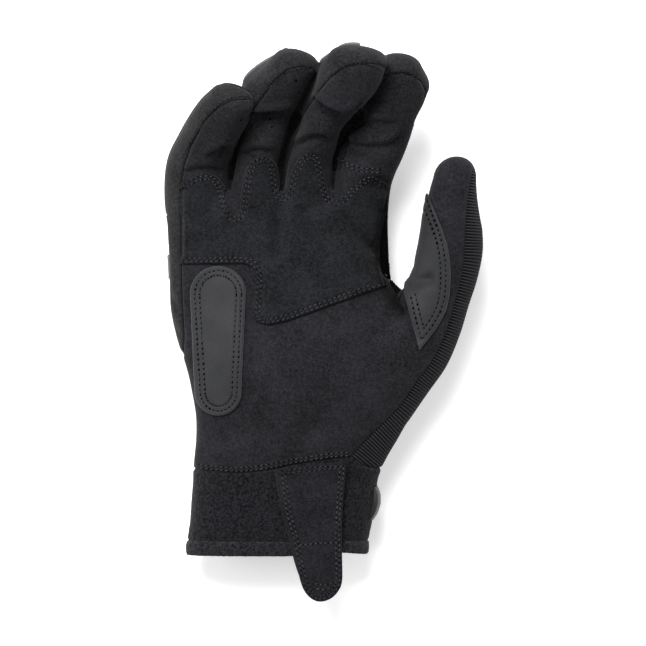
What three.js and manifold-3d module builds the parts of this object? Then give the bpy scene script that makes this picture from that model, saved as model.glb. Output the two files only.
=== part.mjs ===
// A right-hand shooting glove of synthetic suede, grey patches and ribbed knit, lying on its back with the palm up.
// Millimetres: +Z comes out of the palm, +Y runs to the fingertips, +X to the thumb. The floor is z = 0.
// Every soft piece is cut from one hollow hand form, which is the union of six lofted tubes.
import * as THREE from "three";
import { mergeVertices } from "three/addons/utils/BufferGeometryUtils.js";
import Module from "manifold-3d";

const wasm = await Module();
wasm.setup();

// Driving dimensions
const WALL = 1.6; // suede or knit shell
const LAYER = 1.1; // suede layer or patch sewn on the shell
const GAP = 0.3; // left between two pieces that are sewn together
const HEM_WALL = 2.4; // cuff hem, where the cloth is folded over
const CUFF_WALL = 2; // brushed cuff band
const GUARD_GROWTH = 5; // knuckle guard and wrist strap reach this far from the shell, then are flat on the floor
const PAD_LAYER = 1.6; // finger pads on the back
const PAD_START = 96; // y where the finger pads begin
const PAD_DROP = 7.5; // how far the pads stop short of the widest line of their finger
const STRAP_END_LAYER = 1.9;
const SIDE_HEIGHT = 19; // height of the seam between the palm side and the back, all round the palm
const FINGER_BASE = 50; // y of the cut between palm and fingers, which the upper overlay covers
const HEM_TOP = -101;
const CUFF_END = -108.6;
const STRAP_SPAN = [-96, -74];
const STRAP_REACH = [-57, 14]; // x from the strap's sewn side to where its moulded end begins
const STRAP_HEIGHT = 12; // how far the strap climbs the sides of the cuff
const STRAP_END_HEIGHT = 25;
const TAB_LAYERS = [[1.3, 2.3], [2.6, 3.7]]; // height above the cuff of the tab's backing and of its front
const DIGIT_SIDES = 12;
const DIGIT_RINGS = 7;
const PALM_SIDES = 18;
const PALM_RINGS = 9;
const CUFF_RINGS = 3;
const CREASE_WIDTH = 0.035; // share of a digit's length
const PATCH_END_SIDES = 8;
const DIGIT_FULLNESS = 2.25; // superellipse exponents of the sections
const PALM_FULLNESS = 2.7;
const FAR = 200; // past the glove on every side
const PAST = 20; // how far a cutting solid runs on past the end that it cuts

// Digits. Columns: left edge x, y, right edge x, y, height of the centre, half depth. Rows run from the palm to the tip.
const DIGITS = {
  little: {
    cap: 5.6,
    rows: [
      [-67.5, 27.5, -43.3, 27.5, 16, 10],
      [-71.8, 47, -42.8, 47, 17, 11],
      [-73, 61.9, -42.8, 61.9, 19, 11.5],
      [-71.6, 75.6, -42.2, 73.8, 23.5, 11.5],
      [-66.8, 86, -39.8, 80.4, 30, 11],
      [-61.2, 94.4, -37.6, 86.2, 37.5, 10.6],
      [-55.8, 101, -34.2, 92.2, 44, 10.2],
      [-50.6, 105.6, -32, 99.4, 50, 8.8],
    ],
    creases: [[0.52, 1], [0.74, 1.2]],
  },
  ring: {
    cap: 5.6,
    rows: [
      [-43.3, 27.5, -19.1, 27.5, 16, 10.5],
      [-43.3, 47, -18.6, 47, 17, 11.5],
      [-42.8, 62.8, -19.1, 62.8, 19, 12],
      [-41.2, 75.6, -18.6, 75.6, 23, 11.8],
      [-37.6, 86.6, -16.1, 84.6, 28, 11.3],
      [-33.2, 99.2, -13.2, 92.9, 34.5, 10.8],
      [-32.2, 109.4, -9.8, 100.8, 41.5, 10.6],
      [-30.9, 116.2, -6.4, 107.4, 48, 10.4],
      [-26, 120.4, -4.4, 113.8, 52.5, 9.2],
    ],
    creases: [[0.48, 1.2], [0.68, 1.8]],
  },
  middle: {
    cap: 5.4,
    rows: [
      [-18.6, 27.5, 5.6, 27.5, 16, 11],
      [-19.1, 47, 5.1, 47, 17, 12],
      [-18.6, 62.8, 4.7, 62.8, 19, 12.5],
      [-17.8, 75.6, 5.5, 75.6, 23.5, 12],
      [-15.4, 83.7, 7.2, 81.9, 28.5, 11.8],
      [-12, 94.4, 10, 90.3, 36.5, 11.5],
      [-8.1, 103, 15.6, 96.7, 44, 11.4],
      [-4.8, 110.7, 22.8, 103.2, 50.5, 11.3],
      [-2.1, 116.8, 27.1, 109.8, 55.5, 10.8],
      [3.2, 122, 28.2, 116.6, 59, 9.2],
    ],
    creases: [[0.5, 1.2], [0.69, 2]],
  },
  index: {
    cap: 5.6,
    rows: [
      [6.1, 27.5, 30.3, 27.5, 16, 11],
      [5.6, 47, 29.8, 47, 17, 12],
      [5.1, 61.9, 31.2, 60.9, 19, 12.5],
      [6, 71.1, 33.4, 69.2, 21.5, 12.5],
      [7.4, 80.1, 37.1, 77.4, 25, 12.3],
      [10, 88.6, 40.2, 85.5, 29, 12],
      [14, 96.6, 42.8, 93.5, 32.5, 11.6],
      [19.4, 104, 46.8, 101.5, 36, 11],
      [23.4, 111.1, 48.4, 109.5, 39.5, 10.4],
      [26.4, 117, 45.8, 116.2, 42.5, 9.2],
    ],
    creases: [[0.5, 1.6], [0.66, 1.6]],
  },
  thumb: {
    cap: 9.8,
    rows: [
      [6, -25.6, 38.8, -45.5, 20, 17],
      [16.3, -10.7, 48.8, -32.4, 21, 17.5],
      [25.1, 0.5, 56.9, -19.4, 22, 17],
      [32.5, 8.3, 62.9, -5, 23.5, 16],
      [36.6, 15.3, 67.4, 8.2, 25, 15],
      [40.3, 23.2, 71, 19.4, 26.5, 14.3],
      [43, 32.9, 73.6, 31.9, 28, 13.6],
      [44.6, 42.1, 73.4, 42.1, 29, 13],
      [46.6, 51.3, 72.1, 50.8, 29.8, 12.4],
      [48.9, 60.1, 71.2, 59.1, 30.5, 11.5],
      [51.2, 67, 70.2, 66.5, 31, 10.5],
    ],
    creases: [[0.52, 1.2]],
  },
};

// Palm sections, upright to Y. Columns: y, left x, right x, underside z, top z.
const PALM = [
  [-130, -63.3, 20.5, 4, 30],
  [-108.6, -62.9, 20.3, 4, 32],
  [-101, -62.6, 20.7, 4, 33],
  [-92, -61.4, 22.5, 4, 33.5],
  [-82, -60.7, 23.7, 4, 33.5],
  [-72, -60, 24.6, 4, 34],
  [-64.6, -60, 26.4, 3.8, 36],
  [-54.4, -59, 33, 3.6, 38],
  [-43.2, -59, 40, 3.6, 40],
  [-32, -60.6, 47.4, 3.8, 41],
  [-20.9, -62.2, 52.8, 4, 41],
  [-7.9, -66.8, 53, 4, 39],
  [6, -70.2, 44.4, 4, 36],
  [18.1, -71.6, 34.9, 4, 34],
  [29.3, -71.6, 30.5, 4, 32],
  [40.5, -71.4, 29.8, 5, 31],
  [51.6, -71.8, 29.3, 7, 30],
  [60.9, -71.8, 28.8, 10, 28],
];

// Soft folds of the palm. Columns: start x, y, end x, y, half width, height (a dent is negative).
const PALM_FOLDS = [
  [-12, 50, 12, 27, 5, -1.6],
  [-21, 56, -20, 27, 4.5, -1.2],
  [27, 18, 37, -10, 6, -2.4],
  [-4, 4, 26, -30, 12, 1.4],
  [-34, 18, -33, -40, 6, -0.9],
  [-50, -52, 10, -48, 6, -1],
  [-60, 44, -40, 42, 5, 1],
];

// Outlines seen from above, as x, y points in order.
const FRONT_PANELS = {
  little: [[-65.8, 40], [-65.8, 61.7], [-64, 72.7], [-60.7, 81.4], [-54.3, 92], [-48.3, 97.6], [-41.4, 101.4], [-32, 102.5],
    [-18, 100], [-18, 40]],
  ring: [[-60, 40], [-60, 62], [-39.9, 63.3], [-36.7, 79.3], [-31.6, 93.1], [-27.5, 102.2], [-22.5, 110], [-16, 115],
    [-9.2, 116.6], [12, 112], [12, 40]],
  middle: [[-36, 40], [-36, 66], [-17.8, 67.7], [-16.5, 76.9], [-12.4, 87.4], [-5.9, 96.5], [0.5, 104.8], [5.9, 112],
    [11, 115.8], [17.8, 117.4], [25.6, 116.9], [40, 112], [40, 40]],
  index: [[-10, 40], [-10, 65], [5.5, 65.6], [7.8, 79.4], [12.4, 94.1], [17.9, 106], [23.4, 111], [28.9, 113.2],
    [35.3, 114], [40.9, 113], [44.9, 110.3], [47, 106.6], [44, 99.5], [40.3, 92.4], [37.2, 84], [60, 76], [60, 40]],
};
const FINGER_DIVIDERS = [-90, -43, -18.9, 5.3, 42]; // x between the fingers, from the palm to the crotches
const CROTCH_HEIGHT = 74; // y past which every finger is clear of its neighbours
const THUMB_ZONE = [[33.7, 16.6], [37, 50], [43, 70], [46, 86], [90, 86], [90, -13], [44.5, -13]];
const SIDE_ZONE = [[-FAR, -20], [-FAR, 51], [-65.8, 51], [-65.8, 28], [-65.3, 10.7], [-64.6, -6], [-66, -20]];
const KNIT_ZONE = [[95, 74], [95, -72], [13, -72], [12.9, -62.4], [18.9, -55.5], [26.8, -47.6], [35.6, -38.8], [43.4, -27.3], [50.4, -18], [56.8, -5.1],
  [61.9, 12.5], [65, 26.8], [65.6, 39.7], [66.6, 54.1], [68.4, 65.2], [70.7, 74]];
const CUFF_SEAM = [[-90, -67.8], [-61, -67.8], [-41.5, -69.6], [-26.3, -68.2], [-12.9, -65.5], [6, -62.7], [12.4, -62.7],
  [19.4, -66.5], [26.3, -67.6], [90, -67.6]];
const OVERLAY = [[-65.5, 27.2], [-36.5, 27.2], [-32.6, 25.2], [-31.2, 20.5], [-31.9, 9], [-31.6, 2.4], [-27, -0.8],
  [-19, 0.1], [-8, 3.7], [1.7, 7.3], [20.5, 14], [30, 17.4], [33, 26], [36, 56], [30.4, 63.6], [25.4, 67.4], [20.8, 68.4],
  [13, 63.2], [9, 58.6], [5.3, 57.3], [2.9, 59.4], [1.3, 64], [0.2, 70.4], [-1.6, 76.5], [-5.5, 78.9], [-10, 76.7],
  [-13.2, 71.6], [-15, 66.8], [-16.4, 61.4], [-18.4, 59.2], [-20.3, 60.6], [-20.9, 65], [-21.4, 70.6], [-23.6, 75.4],
  [-27.7, 77], [-32.7, 74.9], [-35.8, 68.4], [-37.2, 61.3], [-38, 54.6], [-39.2, 50.9], [-41.5, 50], [-43.6, 53.6],
  [-45.4, 59.2], [-46.8, 64.5], [-50.3, 68.4], [-54.9, 69], [-60, 67.6], [-65.5, 64.6]];
const HEEL_PATCH = [[-48.3, 13.3, 12.9], [-47.7, -32.2, 10.4]]; // x, y and radius of its upper and lower round ends
const CROTCH_PATCH = [[46.8, 58.2], [51.7, 49.2], [55.3, 40.9], [57.7, 32.2], [58.6, 20.2], [56.9, 7.8], [52.3, -1.8],
  [44.4, -12.4], [40.9, 2.3], [38, 14.3], [37, 20], [39, 44]];
const TAB_FRONT = [[-20.3, -66.9], [-18, -85.3], [-13.8, -102.8], [-11.5, -111.6], [-8.3, -121.2], [-5.1, -125.6],
  [-1.4, -127.6], [3.2, -126.4], [6.9, -123], [8.5, -118.5], [8.8, -106.5], [8.8, -92.2], [9.7, -77.9], [11.1, -63.4]];
const TAB_BACKING = [[-22.4, -68], [-19.6, -85.3], [-15, -102.8], [-12.7, -112], [-9, -121.4], [-5, -125], [-1.4, -126.6],
  [3, -125.6], [6, -122.6], [7.6, -118.3], [8, -106.5], [8, -92.2], [8.9, -77.9], [10.2, -63.8]];
const KNUCKLE_GUARD = [[-73.3, 15], [-73.3, 32], [-70, 42], [-52, 47], [-30, 49], [-8, 49], [14, 47], [24, 41],
  [26, 30], [22, 19], [4, 11], [-24, 7], [-52, 5], [-70, 8]];

// Looks
const material = (color, roughness) => new THREE.MeshStandardMaterial({ color, roughness, metalness: 0 });
const SUEDE = material(0x2b2b2f, 0.9);
const OVERLAY_SUEDE = material(0x222327, 0.9);
const GREY_PATCH = material(0x47484c, 0.75);
const KNIT = material(0x222226, 0.95);
const BACK_KNIT = material(0x29292d, 0.9);
const FLEECE = material(0x242328, 1);
const GUARD_GREY = material(0x85868a, 0.6);
const STRAP = material(0x3a3a3e, 0.6);

// Value of each column at t (0 to 1) along a table, by a Catmull-Rom spline through its rows.
function rowAt(rows, t) {
  const place = t * (rows.length - 1);
  const i = Math.min(Math.floor(place), rows.length - 2);
  const f = place - i;
  const row = (k) => rows[THREE.MathUtils.clamp(k, 0, rows.length - 1)];
  const [a, b, c, d] = [row(i - 1), row(i), row(i + 1), row(i + 2)];
  const blend = (p, q, r, s) =>
    q + 0.5 * f * (r - p + f * (2 * p - 5 * q + 4 * r - s + f * (3 * (q - r) + s - p)));
  return b.map((_, k) => blend(a[k], b[k], c[k], d[k]));
}

// A closed surface through rings of equal length, with a fan at each end.
function loft(rings) {
  const sides = rings[0].length;
  const mean = (ring) => ring.reduce((sum, p) => sum.add(p), new THREE.Vector3()).divideScalar(sides);
  const points = [...rings.flat(), mean(rings[0]), mean(rings.at(-1))];
  const [start, end] = [points.length - 2, points.length - 1];
  const index = [];
  for (let j = 0; j < sides; j++) {
    const k = (j + 1) % sides;
    index.push(start, j, k);
    for (let i = 0; i < rings.length - 1; i++) {
      const [a, b] = [i * sides, (i + 1) * sides];
      index.push(a + j, b + j, a + k, a + k, b + j, b + k);
    }
    const last = (rings.length - 1) * sides;
    index.push(last + k, last + j, end);
  }
  return solid(new THREE.BufferGeometry().setFromPoints(points).setIndex(index));
}

// A geometry as a solid that can be cut and joined.
function solid(geometry) {
  const bare = geometry.clone().deleteAttribute("normal").deleteAttribute("uv");
  const merged = mergeVertices(bare, 1e-4);
  return new wasm.Manifold(
    new wasm.Mesh({
      numProp: 3,
      vertProperties: merged.attributes.position.array,
      triVerts: new Uint32Array(merged.index.array),
    }),
  );
}

// Centre line, axes and half sizes of a digit at t along it. Its normal points out of the palm side.
function digitFrame({ rows }, t) {
  const centreAt = (s) => {
    const [lx, ly, rx, ry, z] = rowAt(rows, s);
    return new THREE.Vector3((lx + rx) / 2, (ly + ry) / 2, z);
  };
  const [lx, ly, rx, ry, , depth] = rowAt(rows, t);
  const side = new THREE.Vector3(rx - lx, ry - ly, 0);
  const half = side.length() / 2;
  side.normalize();
  const step = 0.01;
  const tangent = centreAt(Math.min(t + step, 1)).sub(centreAt(Math.max(t - step, 0))).normalize();
  const normal = new THREE.Vector3().crossVectors(side, tangent).normalize();
  return { centre: centreAt(t), side, tangent, normal, half, depth };
}

// Points of a section: a superellipse in the plane of two axes.
function section(centre, across, up, half, depth, fullness, sides) {
  return Array.from({ length: sides }, (_, j) => {
    const angle = (2 * Math.PI * j) / sides;
    const [c, s] = [Math.cos(angle), Math.sin(angle)].map((v) => Math.sign(v) * Math.abs(v) ** (2 / fullness));
    return centre.clone().addScaledVector(across, half * c).addScaledVector(up, depth * s);
  });
}

// A digit as a solid tube with a round tip, grown by `grow` all round. A crease lowers its palm side.
function digitTube(digit, grow) {
  const creases = grow < 0 ? [] : digit.creases;
  const even = Array.from({ length: DIGIT_RINGS + 1 }, (_, i) => i / DIGIT_RINGS);
  const places = even.filter((t) => creases.every(([at]) => Math.abs(t - at) > 1.5 * CREASE_WIDTH));
  creases.forEach(([at]) => places.push(at - CREASE_WIDTH, at, at + CREASE_WIDTH));
  places.sort((a, b) => a - b);
  const rings = places.map((t) => {
    const { centre, side, normal, half, depth } = digitFrame(digit, t);
    const ring = section(centre, side, normal, half + grow, depth + grow, DIGIT_FULLNESS, DIGIT_SIDES);
    const dip = creases.reduce((sum, [at, deep]) => sum + deep * Math.exp(-(((t - at) / CREASE_WIDTH) ** 2)), 0);
    ring.forEach((p, j) => p.addScaledVector(normal, -dip * Math.max(0, Math.sin((2 * Math.PI * j) / DIGIT_SIDES))));
    return ring;
  });
  const tip = digitFrame(digit, 1);
  for (const turn of [35, 68].map(THREE.MathUtils.degToRad)) {
    const centre = tip.centre.clone().addScaledVector(tip.tangent, (digit.cap + grow) * Math.sin(turn));
    const shrink = Math.cos(turn);
    rings.push(section(centre, tip.side, tip.normal, (tip.half + grow) * shrink, (tip.depth + grow) * shrink,
      DIGIT_FULLNESS, DIGIT_SIDES));
  }
  return loft(rings);
}

// Height of the palm's soft folds at a place: each is a ridge or dent with a bell-shaped section.
function foldHeight(x, y) {
  const place = new THREE.Vector3(x, y, 0);
  const nearest = new THREE.Vector3();
  return PALM_FOLDS.reduce((sum, [x1, y1, x2, y2, width, height]) => {
    const line = new THREE.Line3(new THREE.Vector3(x1, y1, 0), new THREE.Vector3(x2, y2, 0));
    line.closestPointToPoint(place, true, nearest);
    return sum + height * Math.exp(-((nearest.distanceTo(place) / width) ** 2));
  }, 0);
}

// The palm and cuff as a solid tube between two y values, grown by `grow`.
function palmTube(grow, from, to, rings = PALM_RINGS) {
  const across = new THREE.Vector3(1, 0, 0);
  const up = new THREE.Vector3(0, 0, 1);
  const ringAt = (y) => {
    const above = PALM.findIndex((row) => row[0] > y);
    const i = above < 0 ? PALM.length - 2 : Math.max(above - 1, 0);
    const [a, b] = [PALM[i], PALM[i + 1]];
    const t = (i + THREE.MathUtils.clamp((y - a[0]) / (b[0] - a[0]), 0, 1)) / (PALM.length - 1);
    const [, left, right, low, high] = rowAt(PALM, t);
    const centre = new THREE.Vector3((left + right) / 2, y, (low + high) / 2);
    const ring = section(centre, across, up, (right - left) / 2 + grow, (high - low) / 2 + grow, PALM_FULLNESS,
      PALM_SIDES);
    ring.forEach((p, j) => {
      const faces = Math.max(0, Math.sin((2 * Math.PI * j) / PALM_SIDES));
      if (y > CUFF_SEAM[1][1]) p.z += foldHeight(p.x, p.y) * faces;
    });
    return ring;
  };
  return loft(Array.from({ length: rings + 1 }, (_, i) => ringAt(THREE.MathUtils.lerp(from, to, i / rings))));
}

// An outline as an upright prism from `low` to `high`, moved outwards by `grow`.
function prism(points, grow = 0, low = -FAR, high = FAR) {
  const clockwise = THREE.ShapeUtils.isClockWise(points.map(([x, y]) => new THREE.Vector2(x, y)));
  const outward = clockwise ? -grow : grow;
  const corner = (i) => new THREE.Vector2(...points.at(i % points.length));
  const moved = points.map((_, i) => {
    const at = corner(i);
    const into = at.clone().sub(corner(i - 1 + points.length)).normalize();
    const out = corner(i + 1).sub(at).normalize();
    const normal = new THREE.Vector2(into.y + out.y, -into.x - out.x).normalize();
    const spread = Math.max(Math.abs(normal.dot(new THREE.Vector2(into.y, -into.x))), 0.4);
    return at.addScaledVector(normal, outward / spread);
  });
  const geometry = new THREE.ExtrudeGeometry(new THREE.Shape(moved), { depth: high - low, bevelEnabled: false });
  return solid(geometry.translate(0, 0, low));
}

// A box between two corners.
function block(x1, y1, z1, x2, y2, z2) {
  const box = new THREE.BoxGeometry(x2 - x1, y2 - y1, z2 - z1);
  return solid(box.translate((x1 + x2) / 2, (y1 + y2) / 2, (z1 + z2) / 2));
}

// The palm side of a digit: all that is above its widest line, lowered by `grow`.
function palmSide(digit, grow = 0) {
  const places = Array.from({ length: DIGIT_RINGS + 1 }, (_, i) => i / DIGIT_RINGS);
  const rings = places.map((t) => {
    const { centre, side, normal, half, depth } = digitFrame(digit, t);
    const corner = (across, up) => centre.clone().addScaledVector(side, across).addScaledVector(normal, up);
    const [reach, top] = [half + PAST / 2, depth + PAST / 2];
    return [corner(-reach, -grow), corner(reach, -grow), corner(reach, top), corner(-reach, top)];
  });
  const { tangent } = digitFrame(digit, 1);
  rings.push(rings.at(-1).map((p) => p.clone().addScaledVector(tangent, PAST)));
  return loft(rings);
}

// The whole hand form, grown by `grow`, from the cuff's end (or `from`) to the fingertips.
function handForm(grow, from = CUFF_END) {
  const tubes = Object.values(DIGITS).map((digit) => digitTube(digit, grow));
  return tubes.reduce((sum, tube) => sum.add(tube), palmTube(grow, from, PALM.at(-1)[0]));
}

// The largest body of a cut, without the slivers that a curved cut leaves.
function mainBody(cut) {
  return cut.decompose().reduce((best, body) => (body.volume() > best.volume() ? body : best));
}

const HALF_GAP = GAP / 2;
const inside = handForm(-WALL, CUFF_END - PAST);
const shell = handForm(0).subtract(inside);
const layerOver = (from, to) => handForm(to).subtract(handForm(from));
const above = (z) => block(-FAR, -FAR, z, FAR, FAR, FAR);
const below = (z) => block(-FAR, -FAR, -FAR, FAR, FAR, z);

const glove = new THREE.Group();

// Adds a group of pieces to the glove.
function addGroup(name) {
  const group = new THREE.Group();
  group.name = name;
  glove.add(group);
  return group;
}

// Adds a piece to a group as a named mesh.
function addPiece(group, name, body, look) {
  const { vertProperties, triVerts } = mainBody(body).getMesh();
  const geometry = new THREE.BufferGeometry();
  geometry.setAttribute("position", new THREE.BufferAttribute(vertProperties, 3));
  geometry.setIndex(new THREE.BufferAttribute(triVerts, 1));
  geometry.computeVertexNormals();
  const mesh = new THREE.Mesh(geometry, look);
  mesh.name = name;
  group.add(mesh);
}

// Fingers: a suede front panel and a knit back panel each. The side strip takes the little finger's outer side.
const fingers = addGroup("fingers");
const fingerNames = Object.keys(FRONT_PANELS);
const palmForm = palmTube(0, CUFF_END, PALM.at(-1)[0]);
const fingerShells = {};
fingerNames.forEach((name, i) => {
  const [left, right] = [FINGER_DIVIDERS[i] + HALF_GAP, FINGER_DIVIDERS[i + 1] - HALF_GAP];
  const column = block(left, FINGER_BASE + HALF_GAP, -FAR, right, CROTCH_HEIGHT, FAR).add(
    block(-FAR, CROTCH_HEIGHT - 1, -FAR, FAR, FAR, FAR),
  );
  const tube = digitTube(DIGITS[name], 0);
  fingerShells[name] = tube.add(palmForm).subtract(inside).intersect(column);
  const front = (grow) => palmSide(DIGITS[name], grow).intersect(prism(FRONT_PANELS[name], grow));
  addPiece(fingers, name + "_finger_front", fingerShells[name].intersect(front(-HALF_GAP)), SUEDE);
  const taken = name === "little" ? palmSide(DIGITS.little, HALF_GAP) : front(HALF_GAP);
  addPiece(fingers, name + "_finger_back", fingerShells[name].subtract(taken), BACK_KNIT);
});

// Palm and back
const palm = addGroup("palm");
const palmLevel = block(-FAR, CUFF_END, -FAR, FAR, FINGER_BASE - HALF_GAP, FAR);
const handZone = prism([...CUFF_SEAM, [90, FAR], [-90, FAR]], -HALF_GAP);
const body = shell.intersect(palmLevel).intersect(handZone);
const topSide = above(SIDE_HEIGHT + HALF_GAP);
const knitZone = (grow) => prism(KNIT_ZONE, grow);
const sideZone = (grow) => prism(SIDE_ZONE, grow);
const thumbZone = (grow) => prism(THUMB_ZONE, grow);
addPiece(palm, "palm_panel",
  body.intersect(topSide).subtract(knitZone(HALF_GAP)).subtract(sideZone(HALF_GAP)).subtract(thumbZone(HALF_GAP)),
  SUEDE);
addPiece(palm, "back_panel",
  body.intersect(below(SIDE_HEIGHT - HALF_GAP)).subtract(thumbZone(HALF_GAP)), BACK_KNIT);

// The strip along the outer side of the hand, from the wrist round the little fingertip
const littleSide = fingerShells.little.intersect(palmSide(DIGITS.little, -HALF_GAP))
  .subtract(prism(FRONT_PANELS.little, HALF_GAP));
const palmSideStrip = shell.intersect(handZone).intersect(sideZone(-HALF_GAP)).intersect(topSide)
  .intersect(block(-FAR, -FAR, 0, FAR, FINGER_BASE + 1, FAR));
addPiece(palm, "outer_side_strip", mainBody(littleSide).add(palmSideStrip), SUEDE);

// Thumb: a suede front, and ribbed knit round its back that runs on down the edge of the hand to the cuff
const thumb = addGroup("thumb");
const thumbShell = shell.intersect(thumbZone(-HALF_GAP));
const thumbFront = (grow) => palmSide(DIGITS.thumb, grow).subtract(knitZone(-grow));
addPiece(thumb, "thumb_front", thumbShell.intersect(thumbFront(-HALF_GAP)), SUEDE);
const knitStrip = body.intersect(topSide).intersect(knitZone(-HALF_GAP));
addPiece(thumb, "thumb_knit", thumbShell.subtract(thumbFront(HALF_GAP)).add(knitStrip), KNIT);

// Layers sewn on the palm side
const overlays = addGroup("overlays");
const sewnOn = layerOver(GAP, GAP + LAYER).intersect(above(SIDE_HEIGHT));
addPiece(overlays, "upper_palm_overlay", sewnOn.intersect(prism(OVERLAY)), OVERLAY_SUEDE);
const stadium = HEEL_PATCH.flatMap(([x, y, radius], end) =>
  Array.from({ length: PATCH_END_SIDES + 1 }, (_, i) => {
    const angle = Math.PI * (end + i / PATCH_END_SIDES);
    return [x + radius * Math.cos(angle), y + radius * Math.sin(angle)];
  }),
);
addPiece(overlays, "heel_patch", sewnOn.intersect(prism(stadium)), GREY_PATCH);
addPiece(overlays, "thumb_crotch_patch", sewnOn.intersect(prism(CROTCH_PATCH)), GREY_PATCH);

// Cuff: a brushed band, its folded hem and a pull tab of two layers that hangs past the hem
const cuff = addGroup("cuff");
const tube = (grow, from, to) => palmTube(grow, from, to, CUFF_RINGS);
const cuffZone = prism([...CUFF_SEAM, [90, -FAR], [-90, -FAR]], -HALF_GAP);
const hollow = tube(-WALL, CUFF_END - PAST, CUFF_SEAM[1][1] + PAST / 2);
const band = tube(CUFF_WALL - WALL, HEM_TOP + HALF_GAP, CUFF_SEAM[5][1] + 2);
addPiece(cuff, "cuff_band", band.subtract(hollow).intersect(cuffZone), FLEECE);
const hem = tube(HEM_WALL - WALL, CUFF_END, HEM_TOP - HALF_GAP);
addPiece(cuff, "cuff_hem", hem.subtract(hollow), FLEECE);
const [tabLow, tabHigh] = [CUFF_END - PAST, CUFF_SEAM[5][1] + 1];
const tabLayer = ([from, to]) =>
  tube(to, tabLow, tabHigh).subtract(tube(from, tabLow - 1, tabHigh + 1)).intersect(above(SIDE_HEIGHT));
addPiece(cuff, "pull_tab_backing", tabLayer(TAB_LAYERS[0]).intersect(prism(TAB_BACKING)), SUEDE);
addPiece(cuff, "pull_tab", tabLayer(TAB_LAYERS[1]).intersect(prism(TAB_FRONT)), SUEDE);

// Back of the hand: knuckle guard, two finger pads, wrist strap and its moulded end
const back = addGroup("back");
const guardShell = layerOver(GAP, GUARD_GROWTH).intersect(above(0));
addPiece(back, "knuckle_guard",
  guardShell.intersect(below(SIDE_HEIGHT - 4)).intersect(prism(KNUCKLE_GUARD)), GUARD_GREY);
["ring", "middle"].forEach((name) => {
  const digit = DIGITS[name];
  const pad = digitTube(digit, GAP + PAD_LAYER).subtract(digitTube(digit, GAP)).subtract(palmSide(digit, PAD_DROP));
  const distal = block(-FAR, PAD_START, -FAR, FAR, FAR, FAR);
  addPiece(back, name + "_finger_pad", pad.intersect(distal), GUARD_GREY);
});
const strapGap = CUFF_WALL - WALL + GAP;
const [strapLow, strapHigh] = STRAP_SPAN;
const [strapLeft, strapRight] = STRAP_REACH;
const strapRing = tube(GUARD_GROWTH, strapLow, strapHigh).subtract(tube(strapGap, strapLow - 1, strapHigh + 1));
addPiece(back, "wrist_strap", strapRing.intersect(block(strapLeft, -FAR, 0, strapRight, 0, STRAP_HEIGHT)), STRAP);
const endRing = tube(strapGap + STRAP_END_LAYER, strapLow - 1, strapHigh + 1)
  .subtract(tube(strapGap, strapLow - 2, strapHigh + 2));
addPiece(back, "strap_end", endRing.intersect(block(strapRight + GAP, -FAR, 0, FAR, 0, STRAP_END_HEIGHT)), STRAP);

export default glove;
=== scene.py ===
# A right-hand shooting glove of synthetic suede, lying palm up on its back, seen from straight above.
import bpy
import numpy as np
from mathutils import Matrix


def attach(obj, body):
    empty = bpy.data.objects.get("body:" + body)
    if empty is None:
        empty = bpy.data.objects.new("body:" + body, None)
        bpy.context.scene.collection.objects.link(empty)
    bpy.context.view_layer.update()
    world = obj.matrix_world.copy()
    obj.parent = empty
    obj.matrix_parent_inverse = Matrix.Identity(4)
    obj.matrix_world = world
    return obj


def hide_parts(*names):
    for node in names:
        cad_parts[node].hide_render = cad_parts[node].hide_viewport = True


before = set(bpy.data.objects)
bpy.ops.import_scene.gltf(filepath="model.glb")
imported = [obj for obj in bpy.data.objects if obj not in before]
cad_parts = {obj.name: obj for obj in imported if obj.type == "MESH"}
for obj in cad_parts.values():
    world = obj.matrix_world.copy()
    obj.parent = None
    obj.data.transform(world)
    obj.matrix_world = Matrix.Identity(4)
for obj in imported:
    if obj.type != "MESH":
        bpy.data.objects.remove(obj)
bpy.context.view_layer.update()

# The view: a camera straight above the palm, as far off as a product photographer stands, over a white
# table that glows a little, as a light table does, so that shadows on it stay faint.
# Its lens takes in the photograph's 646 pixels, at 0.47 mm each, on the table.
PHOTO_PIXELS = 646
MM_PER_PIXEL = 0.47
CAMERA_HEIGHT = 1.8
camera = bpy.data.objects.new("camera", bpy.data.cameras.new("camera"))
camera.location.z = CAMERA_HEIGHT
camera.data.sensor_width = 36
camera.data.lens = 36 * CAMERA_HEIGHT * 1000 / (PHOTO_PIXELS * MM_PER_PIXEL)
bpy.context.collection.objects.link(camera)
bpy.context.scene.camera = camera
bpy.context.scene.view_settings.view_transform = "Standard"


def linear(code):
    """A colour written as sRGB hex, as linear red, green, blue and alpha."""
    part = np.array([int(code[i : i + 2], 16) for i in (1, 3, 5)]) / 255
    return (*np.where(part <= 0.04045, part / 12.92, ((part + 0.055) / 1.055) ** 2.4), 1)


def finish(name, colour, roughness, sheen=0.0):
    """A new material with one colour and roughness, its node tree and its main shader."""
    made = bpy.data.materials.new(name)
    made.use_nodes = True
    shader = made.node_tree.nodes["Principled BSDF"]
    shader.inputs["Base Color"].default_value = linear(colour)
    shader.inputs["Roughness"].default_value = roughness
    shader.inputs["Sheen Weight"].default_value = sheen
    shader.inputs["Sheen Roughness"].default_value = 0.5
    shader.inputs["Specular IOR Level"].default_value = 0.04
    return made, made.node_tree, shader


bpy.ops.mesh.primitive_plane_add(size=8)
table = bpy.context.object
table.name = "table"
table_white, _, table_shader = finish("white_table", "#f4f4f4", 0.9)
table_shader.inputs["Emission Color"].default_value = (1, 1, 1, 1)
table_shader.inputs["Emission Strength"].default_value = 0.35
table.data.materials.append(table_white)

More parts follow.
